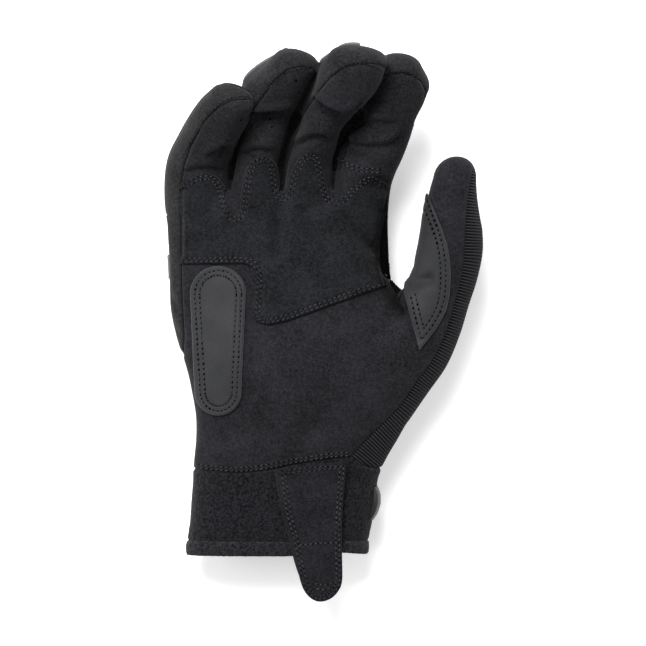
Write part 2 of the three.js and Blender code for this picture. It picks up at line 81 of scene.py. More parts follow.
# Soft studio light: a large panel over the table's upper left, a low panel at each side, and a dim
# white room.
LAMPS = [  # name, watts, size, place
    ("top_panel", 64, 1.0, (-0.4, 1.2, 1.7)),
    ("left_panel", 12, 0.8, (-1.3, 0.1, 0.55)),
    ("right_panel", 6, 0.8, (1.3, 0.2, 0.9)),
]
for name, power, size, place in LAMPS:
    lamp = bpy.data.objects.new(name, bpy.data.lights.new(name, "AREA"))
    lamp.data.energy = power
    lamp.data.size = size
    lamp.location = place
    lamp.rotation_euler = (-lamp.location).to_track_quat("-Z", "Y").to_euler()
    bpy.context.collection.objects.link(lamp)
world = bpy.data.worlds.new("room")
world.use_nodes = True
world.node_tree.nodes["Background"].inputs["Color"].default_value = (1, 1, 1, 1)
world.node_tree.nodes["Background"].inputs["Strength"].default_value = 0.42
bpy.context.scene.world = world

# The hand form: every cloth piece of the glove is cut from one surface, the palm and five digits lofted
# through measured sections and joined, as the pieces of the real glove are cut flat and take the hand's
# shape when sewn.
# Digit columns: left edge x, y, right edge x, y, height of the centre, half depth. `cap` is the length of
# the round tip, and `apart` how far its palm side draws back from its left and its right neighbour, which
# its back meets.
DIGITS = {
    "little": dict(
        cap=5.6,
        apart=(None, 1.4),
        rows=[
            [-67.5, 27.5, -43.3, 27.5, 16, 10],
            [-72.6, 47, -42.8, 47, 17, 11],
            [-73.9, 61.9, -42.8, 61.9, 19, 11.5],
            [-72.4, 75.6, -42.2, 73.8, 23.5, 11.5],
            [-67.3, 86, -39.8, 80.4, 30, 11],
            [-62, 94.8, -37.4, 86.2, 37.5, 10.6],
            [-56.8, 101.6, -33.9, 92.2, 44, 10.2],
            [-51.4, 106, -31.8, 98.8, 50, 8.8],
        ],
    ),
    "ring": dict(
        cap=5.6,
        apart=(0.8, 2.1),
        rows=[
            [-43.3, 27.5, -19.1, 27.5, 16, 10.5],
            [-43.3, 47, -18.6, 47, 17, 11.5],
            [-42.8, 62.8, -19.1, 62.8, 19, 12],
            [-41.2, 75.6, -18.6, 75.6, 23, 11.8],
            [-37.6, 86.6, -16.1, 84.6, 28, 11.3],
            [-34.6, 99.2, -13.2, 92.9, 34.5, 10.8],
            [-37.6, 107.8, -9.4, 100.8, 40.5, 10.6],
            [-28.4, 117.6, -5.6, 107.8, 47, 10.4],
            [-22.4, 122.6, -2.4, 115.8, 50.5, 9.2],
        ],
    ),
    "middle": dict(
        cap=5.4,
        apart=(2.1, 1.2),
        rows=[
            [-18.6, 27.5, 5.6, 27.5, 16, 11],
            [-19.1, 47, 5.1, 47, 17, 12],
            [-18.6, 62.8, 4.7, 62.8, 19, 12.5],
            [-17.8, 75.6, 5.5, 75.6, 23.5, 12],
            [-15.4, 83.7, 7.2, 81.9, 28.5, 11.8],
            [-12, 94.4, 10, 90.3, 36.5, 11.5],
            [-8.1, 103, 15.6, 96.7, 44, 11.4],
            [-4.8, 110.7, 22.8, 103.2, 50.5, 11.3],
            [-3, 117.2, 27.6, 110, 55.5, 10.8],
            [2.6, 122.8, 29.4, 118.2, 59, 9.2],
        ],
    ),
    "index": dict(
        cap=5.6,
        apart=(0.4, None),
        rows=[
            [6.1, 27.5, 30.8, 27.5, 16, 11],
            [5.6, 47, 30.2, 47, 17, 12],
            [5.1, 61.9, 31.2, 60.9, 19, 12.5],
            [6, 71.1, 33.4, 69.2, 21.5, 12.5],
            [7.4, 80.1, 37.1, 77.4, 25, 12.3],
            [10, 88.6, 40.2, 85.5, 29, 12],
            [14, 96.6, 42.8, 93.5, 32.5, 11.6],
            [19.4, 104, 46.8, 101.5, 36, 11],
            [23.4, 111.8, 49, 110, 39.5, 10.4],
            [25.8, 118.6, 45.4, 117.2, 42.5, 9.2],
        ],
    ),
    "thumb": dict(
        cap=9.8,
        apart=(None, None),
        rows=[
            [6, -25.6, 39.4, -46.1, 20, 17],
            [16.3, -10.7, 48.8, -32.4, 21, 17.5],
            [25.1, 0.5, 57.5, -19.8, 22, 17],
            [31.4, 9.8, 63.7, -5, 23.5, 16],
            [37.4, 16.2, 67.6, 8.2, 25, 15],
            [42.1, 23.2, 71.2, 19.4, 26.5, 14.3],
            [44.4, 32.9, 73.8, 31.9, 28, 13.6],
            [46.1, 42.1, 73.8, 42.1, 29, 13],
            [47.3, 51.3, 72.3, 50.8, 29.8, 12.4],
            [48.9, 60.1, 71.2, 59.1, 30.5, 11.5],
            [51, 67.6, 70.8, 67.1, 31, 10.5],
        ],
    ),
}
# Palm columns: y, left x, right x, underside z, top z.
PALM = [
    [-130, -63.3, 20.5, 4, 30],
    [-108.6, -62.9, 20.3, 4, 32],
    [-101, -62.6, 20.7, 4, 33],
    [-92, -61.4, 22.5, 4, 33.5],
    [-82, -60.7, 24.2, 4, 33.5],
    [-72, -60, 25.2, 4, 34],
    [-64.6, -60, 28.6, 3.8, 36],
    [-54.4, -59, 34.4, 3.6, 38],
    [-43.2, -59, 40.8, 3.6, 40],
    [-32, -60.8, 48.2, 3.8, 41],
    [-20.9, -63.3, 53.6, 4, 41],
    [-7.9, -67.6, 53, 4, 39],
    [6, -70.7, 44.4, 4, 36],
    [18.1, -71.3, 33, 4, 34],
    [29.3, -71.6, 30.5, 4, 32],
    [40.5, -72.2, 29.6, 5, 31],
    [51.6, -72.8, 29.4, 7, 30],
    [60.9, -72.8, 29.4, 10, 28],
]
# Power of the sections: 2 is an ellipse, and more is boxier.
DIGIT_FULLNESS = 2.25
PALM_FULLNESS = 2.7
# How far the backs of neighbouring fingers swell to meet, and how coarse the joined surface is.
MEETING = 3.4
VOXEL = 0.8
# Rings along a digit and in its round tip, and points round each ring.
DIGIT_RINGS = 150
TIP_RINGS = 10
RING_POINTS = 72
# Where along a digit, from 0 to 1, its swell starts and the stretch over which it rises. Then where it ends
# and the stretch over which it falls, on the back and on the palm side.
SWELL_FROM = 0.15
SWELL_RISE = 0.2
BACK_ENDS = (0.97, 0.2)
FRONT_ENDS = (1.02, 0.12)
# The stretch of palm that is joined to the digits, its rings, and points round each ring.
PALM_STRETCH = (-78, 60.9)
PALM_RINGS = 150
PALM_POINTS = 140


def along(rows, t):
    """Catmull-Rom blend of the rows of a table at places t from 0 to 1, one result row for each place."""
    rows = np.asarray(rows, float)
    place = np.clip(t, 0, 1) * (len(rows) - 1)
    i = np.minimum(place.astype(int), len(rows) - 2)
    f = (place - i)[:, None]
    a, b, c, d = (rows[np.clip(i + k, 0, len(rows) - 1)] for k in (-1, 0, 1, 2))
    return b + 0.5 * f * (c - a + f * (2 * a - 5 * b + 4 * c - d + f * (3 * (b - c) + d - a)))


def full_turn(count):
    """So many angles round a full turn."""
    return np.linspace(0, 2 * np.pi, count, endpoint=False)


def unit(vectors):
    """Each vector divided by its length."""
    return vectors / np.maximum(np.linalg.norm(vectors, axis=-1, keepdims=True), 1e-9)


def digit_axes(rows, t):
    """Centre, side axis, palm-side axis, tangent, half width and half depth of a digit at each place t.
    The side axis joins the two edges, and the palm-side axis is square to it and to the centre line."""
    edge = along(rows, t)
    centre = np.column_stack([(edge[:, 0] + edge[:, 2]) / 2, (edge[:, 1] + edge[:, 3]) / 2, edge[:, 4]])
    chord = np.column_stack([edge[:, 2] - edge[:, 0], edge[:, 3] - edge[:, 1], np.zeros(len(t))])
    step = along(rows, t + 0.01) - along(rows, t - 0.01)
    ahead = np.column_stack([step[:, 0] + step[:, 2], step[:, 1] + step[:, 3], 2 * step[:, 4]])
    side, tangent = unit(chord), unit(ahead)
    return centre, side, unit(np.cross(side, tangent)), tangent, np.linalg.norm(chord, axis=1) / 2, edge[:, 5]


def superellipse(angle, fullness):
    """Cosine and sine of an angle, each raised to 2 / fullness with its sign kept."""
    wave = np.stack([np.cos(angle), np.sin(angle)])
    return np.sign(wave) * np.abs(wave) ** (2 / fullness)


def digit_grid(digit):
    """Rings of a digit: superellipses along its centre line, then a round tip whose rings shrink with the
    cosine while they go forward with the sine. Beside a neighbour the back is wider and the palm side
    narrower, by a step of (1 + tanh(3.5 up + 1.4)) / 2 that is full over the middle joint and fades out
    towards the base and the tip, where the back fades out first."""
    t = np.linspace(0, 1, DIGIT_RINGS)
    centre, side, palmar, tangent, half, depth = digit_axes(digit["rows"], t)
    across, up = superellipse(full_turn(RING_POINTS), DIGIT_FULLNESS)
    turn = np.radians(np.linspace(8, 84, TIP_RINGS))
    rise = np.r_[np.zeros(DIGIT_RINGS), digit["cap"] * np.sin(turn)]
    shrink = np.r_[np.ones(DIGIT_RINGS), np.cos(turn)]
    last = np.r_[np.arange(DIGIT_RINGS), np.full(TIP_RINGS, DIGIT_RINGS - 1)]
    step = (1 + np.tanh(3.5 * up + 1.4)) / 2
    rising = (t[last] - SWELL_FROM) / SWELL_RISE
    meets, draws = (np.clip(np.minimum(rising, (end - t[last]) / fade), 0, 1)[:, None]
                    for end, fade in (BACK_ENDS, FRONT_ENDS))
    alone = np.zeros_like(meets * step)
    swells = [alone if apart is None else MEETING * (1 - step) * meets - apart * step * draws
              for apart in digit["apart"]]
    swell = np.where(across < 0, *swells) * across
    width = (half[last] * shrink)[:, None] * across + swell * shrink[:, None]
    return (
        (centre[last] + rise[:, None] * tangent[last])[:, None]
        + width[..., None] * side[last][:, None]
        + ((depth[last] * shrink)[:, None] * up)[..., None] * palmar[last][:, None]
    )


def palm_surface(y, angle, grow=0.0):
    """Upright superellipses of palm and cuff at each y and angle, grown by so many millimetres."""
    y, angle = np.broadcast_arrays(y, angle)
    place = np.interp(y.ravel(), np.array(PALM)[:, 0], np.linspace(0, 1, len(PALM)))
    left, right, low, high = along(PALM, place).T[1:].reshape(4, *y.shape)
    across, up = superellipse(angle, PALM_FULLNESS)
    return np.stack([(left + right) / 2 + ((right - left) / 2 + grow) * across, y,
                     (low + high) / 2 + ((high - low) / 2 + grow) * up], axis=-1)


def quads(rows, columns, closed=False):
    """Corner numbers of the faces of a grid of rows and columns, its columns closed into rings or not."""
    i, j = np.meshgrid(np.arange(rows - 1), np.arange(columns if closed else columns - 1), indexing="ij")
    k = (j + 1) % columns
    corners = [i * columns + j, (i + 1) * columns + j, (i + 1) * columns + k, i * columns + k]
    return np.stack(corners, -1).reshape(-1, 4)


def new_piece(name, points, faces):
    """A smooth object of points in millimetres and faces, in the glove's frame."""
    mesh = bpy.data.meshes.new(name)
    faces = faces if isinstance(faces, list) else faces.tolist()
    mesh.from_pydata((points.reshape(-1, 3) / 1000).tolist(), [], faces)
    mesh.shade_smooth()
    piece = bpy.data.objects.new(name, mesh)
    bpy.context.collection.objects.link(piece)
    return piece


def surface(piece):
    """Points in millimetres, normals and triangles of a piece with its modifiers applied."""
    mesh = piece.evaluated_get(bpy.context.evaluated_depsgraph_get()).to_mesh()
    mesh.calc_loop_triangles()
    points = np.empty(len(mesh.vertices) * 3)
    normals = np.empty(len(mesh.vertices) * 3)
    corners = np.empty(len(mesh.loop_triangles) * 3, np.int32)
    mesh.vertices.foreach_get("co", points)
    mesh.vertices.foreach_get("normal", normals)
    mesh.loop_triangles.foreach_get("vertices", corners)
    return points.reshape(-1, 3) * 1000, normals.reshape(-1, 3), corners.reshape(-1, 3)


tubes = [digit_grid(digit) for digit in DIGITS.values()]
palm_y = np.linspace(*PALM_STRETCH, PALM_RINGS)[:, None]
tubes.append(palm_surface(palm_y, full_turn(PALM_POINTS)))
form_faces, start = [], 0
for grid in tubes:
    rings, count = grid.shape[:2]
    form_faces += (quads(rings, count, True) + start).tolist()
    form_faces.append(list(range(start, start + count)))
    start += rings * count
    form_faces.append(list(range(start - 1, start - count - 1, -1)))
form = new_piece("hand_form", np.concatenate([grid.reshape(-1, 3) for grid in tubes]), form_faces)
remesh = form.modifiers.new("join", "REMESH")
remesh.mode = "VOXEL"
remesh.voxel_size = VOXEL / 1000
smooth = form.modifiers.new("ease", "SMOOTH")
smooth.factor = 0.5
smooth.iterations = 8
form_points, form_normals, form_triangles = surface(form)
bpy.data.objects.remove(form)

# The folds that the cloth keeps where the joints bend and the palm cups. Each is a line in plan, from left
# to right, with its depth, the width of its slope towards the wrist and towards the fingertip, and the
# height of the lip that the cloth makes on the fingertip's side.
FOLDS = [
    ([[-33, 95.6], [-27.8, 95.8], [-22.4, 96.3], [-16.9, 97.2], [-12.4, 99.8]], 4.2, 7.5, 0.6, 1.4),
    ([[-6, 103.5], [-2.3, 100.9], [1.4, 98.3], [5.9, 96.4], [9.8, 95.9], [14, 97.2], [18, 100.5]],
     5.0, 8.0, 0.6, 1.8),
    ([[-54, 76], [-49.2, 78.6], [-43.6, 80.8], [-40.5, 82]], 1.8, 3.0, 0.9, 0.7),
    ([[-37, 78.4], [-34.6, 79.1], [-28.1, 79.7], [-21.5, 78.7]], 2.0, 2.6, 0.9, 0.6),
    ([[-14, 82.4], [-9, 84.2], [-3, 85.5], [4.8, 83.6]], 2.4, 3.0, 0.8, 0.9),
    ([[10.5, 90.9], [17.9, 92.2], [26.2, 92.1], [35, 91]], 1.6, 2.6, 1.0, 0.7),
    ([[7.6, 86.6], [11.5, 83.5], [16.1, 81.9], [21.6, 81.4], [29, 81.9], [33.6, 84.1], [37, 88.5]],
     1.9, 3.4, 0.8, 0.8),
    ([[11.2, 90.5], [9.6, 82.6], [8.6, 77], [7.5, 70]], 1.8, 0.8, 0.8, 0.2),
    ([[-66, 69.4], [-57.6, 71], [-51.2, 71.5], [-46, 70]], 1.3, 2.4, 0.9, 0.4),
    ([[-50, 73], [-46.5, 77], [-45, 81]], 1.3, 2.0, 1.2, 0.3),
    ([[9, 79.5], [14, 77], [21, 76.5]], 1.2, 2.2, 1.1, 0.4),
    ([[-19.4, 60], [-20.2, 52], [-20.8, 44], [-21.2, 36], [-22, 27]], 2.8, 2.8, 2.8, 0.2),
    ([[-11, 55], [-8.4, 48.6], [-5, 42.1], [-1.5, 35.5], [3, 28]], 3.2, 3.2, 3.2, 0.2),
    ([[8, 52.5], [12.5, 44.8], [17.2, 38.3], [22, 31]], 2.6, 3.2, 3.0, 0.2),
    ([[-44.5, 50.8], [-38.3, 44.8], [-32, 38]], 1.2, 3.0, 3.0, 0.1),
    ([[-57, 50], [-52, 44], [-50, 36]], 0.7, 3.0, 3.0, 0.1),
    ([[26, 58], [24.4, 45], [23.8, 33], [26, 21]], 3.4, 3.2, 3.2, 0.0),
    ([[26, 68], [24, 45], [27, 16]], 4.0, 9.0, 15.0, 0.0),
    ([[13, 7], [21, 10], [30, 14], [38, 17]], 2.6, 6.0, 4.6, 0.0),
    ([[36, 24], [35, 15], [35.6, 8], [38.2, 0]], 5.0, 5.0, 2.6, 0.0),
    ([[38.2, 8], [40.2, 1], [43.6, -10]], 1.6, 1.6, 1.8, 0.0),
    ([[6, -15], [14, -13], [21, -9], [27, -3]], 1.5, 4.5, 4.0, 0.2),
    ([[-34, 18], [-33, -10], [-34.5, -38]], 0.9, 3.5, 3.5, 0.0),
    ([[-50, -52], [-20, -49], [10, -47]], 1.0, 6.0, 6.0, 0.0),
    ([[-12, -58], [2, -40], [10, -30]], 0.9, 5.0, 5.0, 0.0),
    ([[39, 15.6], [43, 18], [47, 19.6], [52, 20]], 2.4, 2.8, 2.4, 0.3),
    ([[-71.5, 14.5], [-68.5, 9.5], [-64.5, 5.5]], 1.2, 1.8, 1.2, 0.3),
    ([[-71.5, 1], [-67.5, -4], [-62.5, -8]], 1.3, 1.8, 1.2, 0.3),
    ([[-70.5, -6], [-66.5, -11], [-62, -13]], 1.0, 1.6, 1.2, 0.3),
]


def curve(points, count=160):
    """A smooth plan curve through a few points, by the same spline as the tables."""
    return along(points, np.linspace(0, 1, count))


FOLD_STEPS = 60


def fold_height(points, folds):
    """Height that folds add at each point: a bell-shaped dent across the line, steeper on one side, with a
    low lip beyond it, all of them fading out over the last sixth of the line at both ends."""
    total = np.zeros(len(points))
    for stations, depth, near, far, lip in folds:
        line = curve(stations, FOLD_STEPS)
        margin = 3 * max(near, far)
        close = (points[:, :2] > line.min(0) - margin) & (points[:, :2] < line.max(0) + margin)
        chosen = np.flatnonzero(close.all(1))
        spot = points[chosen, :2]
        which = ((spot[:, None] - line) ** 2).sum(-1).argmin(1)
        ahead = unit(np.gradient(line, axis=0))[which]
        offset = spot - line[which]
        away = ahead[:, 0] * offset[:, 1] - ahead[:, 1] * offset[:, 0]
        beyond = (offset * ahead).sum(1)
        from_end = np.minimum(which, FOLD_STEPS - 1 - which)
        ends = np.clip(from_end / 10, 0, 1) * np.exp(-((beyond / 2) ** 2))
        dent = np.exp(-((away / np.where(away > 0, far, near)) ** 2))
        rim = np.exp(-(((away - 2.2 * far - 0.6) / 1.8) ** 2)) * (away > 0)
        total[chosen] += ends * (lip * rim - depth * dent)
    return total


# The palm folds straight down and the fingers along their own surface, and between them the way turns.
FOLD_TURNS_FROM = 58
FOLD_TURNS_OVER = 6
facing_up = np.clip(2 * form_normals[:, 2], 0, 1)
on_fingers = np.clip((form_points[:, 1] - FOLD_TURNS_FROM) / FOLD_TURNS_OVER, 0, 1)[:, None]
folded_way = unit(on_fingers * form_normals + (1 - on_fingers) * [0, 0, 1])
form_points += (fold_height(form_points, FOLDS) * facing_up)[:, None] * folded_way


def inside(points, outline, reach=6.0):
    """Distance in plan from each point to a closed outline, positive inside. It stops at -reach."""
    outline = np.asarray(outline, np.float32)
    near = ((points[:, :2] > outline.min(0) - reach) & (points[:, :2] < outline.max(0) + reach)).all(1)
    spot = points[near, :2].astype(np.float32)
    best = np.full(len(spot), np.inf, np.float32)
    crossings = np.zeros(len(spot), int)
    for start, end in zip(outline, np.roll(outline, -1, 0)):
        edge = end - start
        place = np.clip((spot - start) @ edge / max(edge @ edge, 1e-9), 0, 1)
        best = np.minimum(best, np.linalg.norm(spot - start - place[:, None] * edge, axis=1))
        straddles = (start[1] > spot[:, 1]) != (end[1] > spot[:, 1])
        slope = edge[0] / (edge[1] if edge[1] else 1e-9)
        crossings += straddles & (spot[:, 0] < start[0] + slope * (spot[:, 1] - start[1]))
    result = np.full(len(points), -reach)
    result[near] = np.maximum(np.where(crossings % 2 == 1, best, -best), -reach)
    return result


AXIS_STEPS = 120


def digit_fields(points):
    """For each digit, how near each point is to its centre line (1 is its skin), and how far palmwards."""
    nearness, palm_side = [], []
    for digit in DIGITS.values():
        places = np.linspace(0, 1, AXIS_STEPS)
        centre, side, palmar, tangent, half, depth = digit_axes(digit["rows"], places)
        away = ((points[:, None, :].astype(np.float32) - centre.astype(np.float32)) ** 2).sum(-1)
        best = away.argmin(1)
        offset = points - centre[best]
        to_palm = (offset * palmar[best]).sum(1)
        spread = np.stack([(offset * side[best]).sum(1) / half[best], to_palm / depth[best],
                           (offset * tangent[best]).sum(1) / depth[best]])
        nearness.append(np.linalg.norm(spread, axis=0))
        palm_side.append(to_palm)
    return np.array(nearness), np.array(palm_side)


nearness, palm_side = digit_fields(form_points)


def cut(points, normals, triangles, field, seams=None):
    """The part of a surface where a field is positive, cut through its triangles where the field is zero.
    Returns points, normals, distance to the seams (the field itself unless given) and triangles."""
    field = np.where(np.abs(field) < 1e-4, 1e-4, field)
    values = np.column_stack([points, normals, field if seams is None else seams])
    keep = field[triangles] > 0
    total = keep.sum(1)
    whole, one, two = (triangles[total == n] for n in (3, 1, 2))
    turn_one = (keep[total == 1].argmax(1)[:, None] + np.arange(3)) % 3
    turn_two = ((~keep[total == 2]).argmax(1)[:, None] + np.arange(3)) % 3
    one = np.take_along_axis(one, turn_one, 1)
    two = np.take_along_axis(two, turn_two, 1)
    pairs = np.sort(np.concatenate([one[:, [0, 1]], one[:, [0, 2]], two[:, [0, 1]], two[:, [0, 2]]]), axis=1)
    edges, number = np.unique(pairs, axis=0, return_inverse=True)
    share = (field[edges[:, 0]] / (field[edges[:, 0]] - field[edges[:, 1]]))[:, None]
    crossing = values[edges[:, 0]] * (1 - share) + values[edges[:, 1]] * share
    ab, ac, na, nb = np.split(number.ravel() + len(values), np.cumsum([len(one), len(one), len(two)]))
    made = [whole, np.column_stack([one[:, 0], ab, ac]), np.column_stack([two[:, 1], two[:, 2], nb]),
            np.column_stack([two[:, 1], nb, na])]
    used, triangles = np.unique(np.concatenate(made), return_inverse=True)
    kept = np.concatenate([values, crossing])[used]
    return kept[:, :3], kept[:, 3:6], kept[:, 6], triangles.reshape(-1, 3)


def add_values(piece, name, values):
    """Stores one number for each point of a piece, for its material."""
    piece.data.attributes.new(name, "FLOAT", "POINT").data.foreach_set("value", values.astype(np.float32))


def lighten(piece, share):
    """Keeps a share of a plain smooth piece's faces."""
    fewer = piece.modifiers.new("fewer", "DECIMATE")
    fewer.ratio = share


def thicken(piece, wall):
    """Gives a piece a wall of so many millimetres on its inner side."""
    solid = piece.modifiers.new("wall", "SOLIDIFY")
    solid.thickness = wall / 1000
    solid.offset = -1


def seat(piece, node, material):
    """Gives a piece its material and hides the CAD node that it stands for. It rides on the glove."""
    piece.data.materials.append(material)
    if node:
        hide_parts(node)
    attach(piece, "root")


# Thickness of the cloth, how deep its edges turn in at a seam, and over what width.
WALL = 1.2
SEAM_DIP = 0.9
SEAM_TURN = 0.7


def cloth(name, node, field, material, share=1.0, seams=None):
    """A cloth piece cut from the hand form, its edges turned in at the seams and its wall given inwards."""
    points, normals, edge, triangles = cut(form_points, form_normals, form_triangles, field, seams)
    edge = np.maximum(edge, 0)
    turned = SEAM_DIP * np.exp(-((edge / SEAM_TURN) ** 2))
    piece = new_piece(name, points - normals * turned[:, None], triangles)
    add_values(piece, "edge", edge)
    # Each point's share of the painted shade in the hollow beside the thumb.
    add_values(piece, "hollow", hollow_shade_share(points))
    if share < 1:
        lighten(piece, share)
    thicken(piece, WALL)
    seat(piece, node, material)
    return piece


# Palm panel: the large suede panel over the heel and middle of the hand, a short matt nap of black
# synthetic suede with pale flecks. It ends at the thumb, at the ribbed knit, in the side seam and under the
# upper overlay.
def node(tree, kind, settings=None, **inputs):
    """Adds a node, sets its settings, and fills or links its inputs, which are named or numbered (v0, v1)."""
    made = tree.nodes.new(kind)
    for key, value in (settings or {}).items():
        setattr(made, key, value)
    for key, value in inputs.items():
        socket = made.inputs[int(key[1:])] if key[1:].isdigit() else made.inputs[key]
        if isinstance(value, bpy.types.NodeSocket):
            tree.links.new(value, socket)
        else:
            socket.default_value = value
    return made.outputs[0]


def noise(tree, size, detail=3.0, roughness=0.6):
    """Noise whose features are about so many millimetres across."""
    place = tree.nodes.get("Texture Coordinate") or tree.nodes.new("ShaderNodeTexCoord")
    return node(tree, "ShaderNodeTexNoise", Vector=place.outputs["Object"], Scale=1000 / size, Detail=detail,
                Roughness=roughness)


def span(tree, value, low, high, to_low=0.0, to_high=1.0):
    """A value mapped from one range to another, and held at its ends."""
    return node(tree, "ShaderNodeMapRange", v0=value, v1=low, v2=high, v3=to_low, v4=to_high)


def maths(tree, operation, first, second, third=0.0):
    """A Math node."""
    return node(tree, "ShaderNodeMath", {"operation": operation}, v0=first, v1=second, v2=third)


def mixed(tree, share, dark, light):
    """Two colours, written as sRGB hex, mixed by a share."""
    made = tree.nodes.new("ShaderNodeMix")
    made.data_type = "RGBA"
    tree.links.new(share, made.inputs[0])
    made.inputs[6].default_value = linear(dark)
    made.inputs[7].default_value = linear(light)
    return made.outputs[2]


def shaded(tree, colour, shade):
    """A colour made darker or lighter by a factor."""
    return node(tree, "ShaderNodeVectorMath", {"operation": "SCALE"}, v0=colour, Scale=shade)


def attribute(tree, name):
    """A number stored on the mesh."""
    made = tree.nodes.new("ShaderNodeAttribute")
    made.attribute_name = name
    return made.outputs["Fac"]


def bump(tree, height, distance, strength=1.0, before=None):
    """A bump of so many millimetres, on top of another."""
    made = tree.nodes.new("ShaderNodeBump")
    made.inputs["Strength"].default_value = strength
    made.inputs["Distance"].default_value = distance / 1000
    tree.links.new(height, made.inputs["Height"])
    if before:
        tree.links.new(before, made.inputs["Normal"])
    return made.outputs[0]


# How dark painted shade makes suede in its seams, and in the hollow beside the thumb.
SEAM_SHADE = 0.08
HOLLOW_SHADE = 0.14


def suede(name, dark, light, sheen=0.05, nap=0.5):
    """Suede of two shades mixed by a fine fleck and a broad mottle, and turned in at its seams. Painted shade
    darkens it at its seams, and most of all in the hollow beside the thumb, where little light comes in."""
    made, tree, shader = finish(name, dark, 0.95, sheen)
    fleck, grit, mottle = noise(tree, 1.5, 3.0, 0.7), noise(tree, 0.7, 2.0, 0.7), noise(tree, 16, 3.0)
    share = maths(tree, "MULTIPLY_ADD", span(tree, mottle, 0.32, 0.68), 0.3,
                  span(tree, fleck, 0.36, 0.66, 0.0, 0.4))
    share = maths(tree, "ADD", share, span(tree, grit, 0.42, 0.68, 0.0, 0.45))
    # Painted shade: darker at the seams, and darkest in the hollow beside the thumb.
    seam = span(tree, attribute(tree, "edge"), 0.0, 0.55)
    shade = span(tree, seam, 0.0, 1.0, SEAM_SHADE, 1.0)
    shade = maths(tree, "MULTIPLY", shade, span(tree, attribute(tree, "hollow"), 0.0, 1.0, 1.0, HOLLOW_SHADE))
    colour = shaded(tree, mixed(tree, share, dark, light), shade)
    tree.links.new(colour, shader.inputs["Base Color"])
    rough = bump(tree, fleck, 0.6, nap)
    tree.links.new(bump(tree, seam, 0.4, 0.6, rough), shader.inputs["Normal"])
    return made


palm_suede = suede("palm_suede", "#09090a", "#29292d")
# Painted light: a touch paler than the palm suede, for the outer side that catches the light.
lit_side_suede = suede("lit_side_suede", "#0c0c0c", "#2e2e30", 0.08)

# Palm and back meet 19 mm up, but 10 mm lower round the web between index and thumb.
SIDE_HEIGHT = 19
WEB = (34, 12)
WEB_REACH = 13
WEB_DROP = 10
# The hollow beside the thumb that painted shade darkens, and the width over which that shade fades out.
HOLLOW = [[31, 56], [27.6, 44], [26.4, 36], [27, 27], [29, 19.5], [31.6, 14], [33.4, 9.5], [37, 6.5],
          [39.5, 8], [38.6, 19.6], [36, 30], [36, 56]]
HOLLOW_FADE = 3.4


def hollow_shade_share(points):
    """How much painted shade each point takes in the hollow beside the thumb: 1 inside it, fading out beyond.
    """
    return np.exp(-((np.minimum(inside(points, HOLLOW, 12.0), 0) / HOLLOW_FADE) ** 2))


def above_side(points):
    """Height above the line where palm and back meet, which is lower at the web beside the thumb."""
    away = ((points[:, 0] - WEB[0]) ** 2 + (points[:, 1] - WEB[1]) ** 2) / WEB_REACH**2
    return points[:, 2] - SIDE_HEIGHT + WEB_DROP * np.exp(-away)


# Outlines and seam lines in plan, and the y of the finger bases.
FINGER_BASE = 50
THUMB_ZONE = [[33.7, 16.6], [37, 50], [43, 70], [46, 86], [90, 86], [90, -13], [44.5, -13]]
INDEX_SIDE = [[30.6, 52], [29.4, 47.5], [27.7, 42], [26.6, 36], [26.8, 28], [28.6, 22.5], [33, 19]]
SIDE_SEAM = [[-65.8, 51], [-65.8, 28], [-65.3, 10.7], [-64.6, -6], [-66, -20]]
KNIT_EDGE = [[12.9, -62.4], [18.9, -55.5], [26.8, -47.6], [35.6, -38.8], [43.4, -27.3], [50.4, -18],
             [56.8, -5.1], [61.9, 12.5], [65, 26.8], [65.6, 39.7], [66.6, 54.1], [68.4, 65.2], [70.7, 74]]
CUFF_SEAM = [[-61, -67.8], [-41.5, -69.6], [-26.3, -68.2], [-12.9, -65.5], [6, -62.7], [12.4, -62.7],
             [19.4, -66.5], [26.3, -67.6]]
FAR = 200
cuff_line = np.concatenate([[[-FAR, -67.8]], curve(CUFF_SEAM, 60), [[FAR, -67.6]]])
above_cuff = inside(form_points, np.concatenate([cuff_line, [[FAR, FAR], [-FAR, FAR]]]))
in_thumb = inside(form_points, THUMB_ZONE)
in_knit = inside(form_points, np.concatenate([curve(KNIT_EDGE, 80), [[95, 74], [95, -72], [13, -72]]]))
in_side = inside(form_points, np.concatenate([curve(SIDE_SEAM, 30), [[-FAR, -20], [-FAR, 51]]]))
below_fingers = FINGER_BASE - form_points[:, 1]
on_top = above_side(form_points)
in_index_side = inside(form_points, np.concatenate([curve(INDEX_SIDE, 60), [[38, 30], [38, 58]]]))
palm_seams = np.minimum.reduce([above_cuff, -in_knit, -in_side, -in_index_side])
cloth("palm_suede_panel", "palm_panel",
      np.minimum.reduce([palm_seams, -in_thumb, below_fingers, on_top]), palm_suede, seams=palm_seams)

# Finger fronts: one suede panel on the palm side of each finger, sewn to its back round the fingertip. The
# panels start at the finger bases, under the overlay.
FRONT_PANELS = {
    "little": [[-65.8, 40], [-65.8, 61.7], [-64, 72.7], [-60.7, 81.4], [-54.3, 92], [-48.3, 97.6],
               [-41.4, 101.4], [-32, 102.5], [-18, 100], [-18, 40]],
    "ring": [[-60, 40], [-60, 62], [-42.5, 66], [-40.5, 79.3], [-34.8, 93.1], [-28.8, 101.5], [-22.5, 110],
             [-16, 115], [-9.2, 116.6], [12, 112], [12, 40]],
    "middle": [[-36, 40], [-36, 66], [-18.5, 67.7], [-18, 76.9], [-15, 87.4], [-9.5, 96.5], [-3, 104.8],
               [4.3, 112], [11, 115.8], [17.8, 117.4], [25.6, 116.9], [40, 112], [40, 40]],
    "index": [[-10, 40], [-10, 65], [4.5, 65.6], [5.5, 79.4], [10, 94.1], [16.9, 106], [23.4, 111.4],
              [28.9, 113.2], [35.3, 114], [40.9, 113], [45.4, 110.3], [47.6, 106], [46.4, 99.5],
              [43, 92.4], [60, 84], [60, 40]],
}
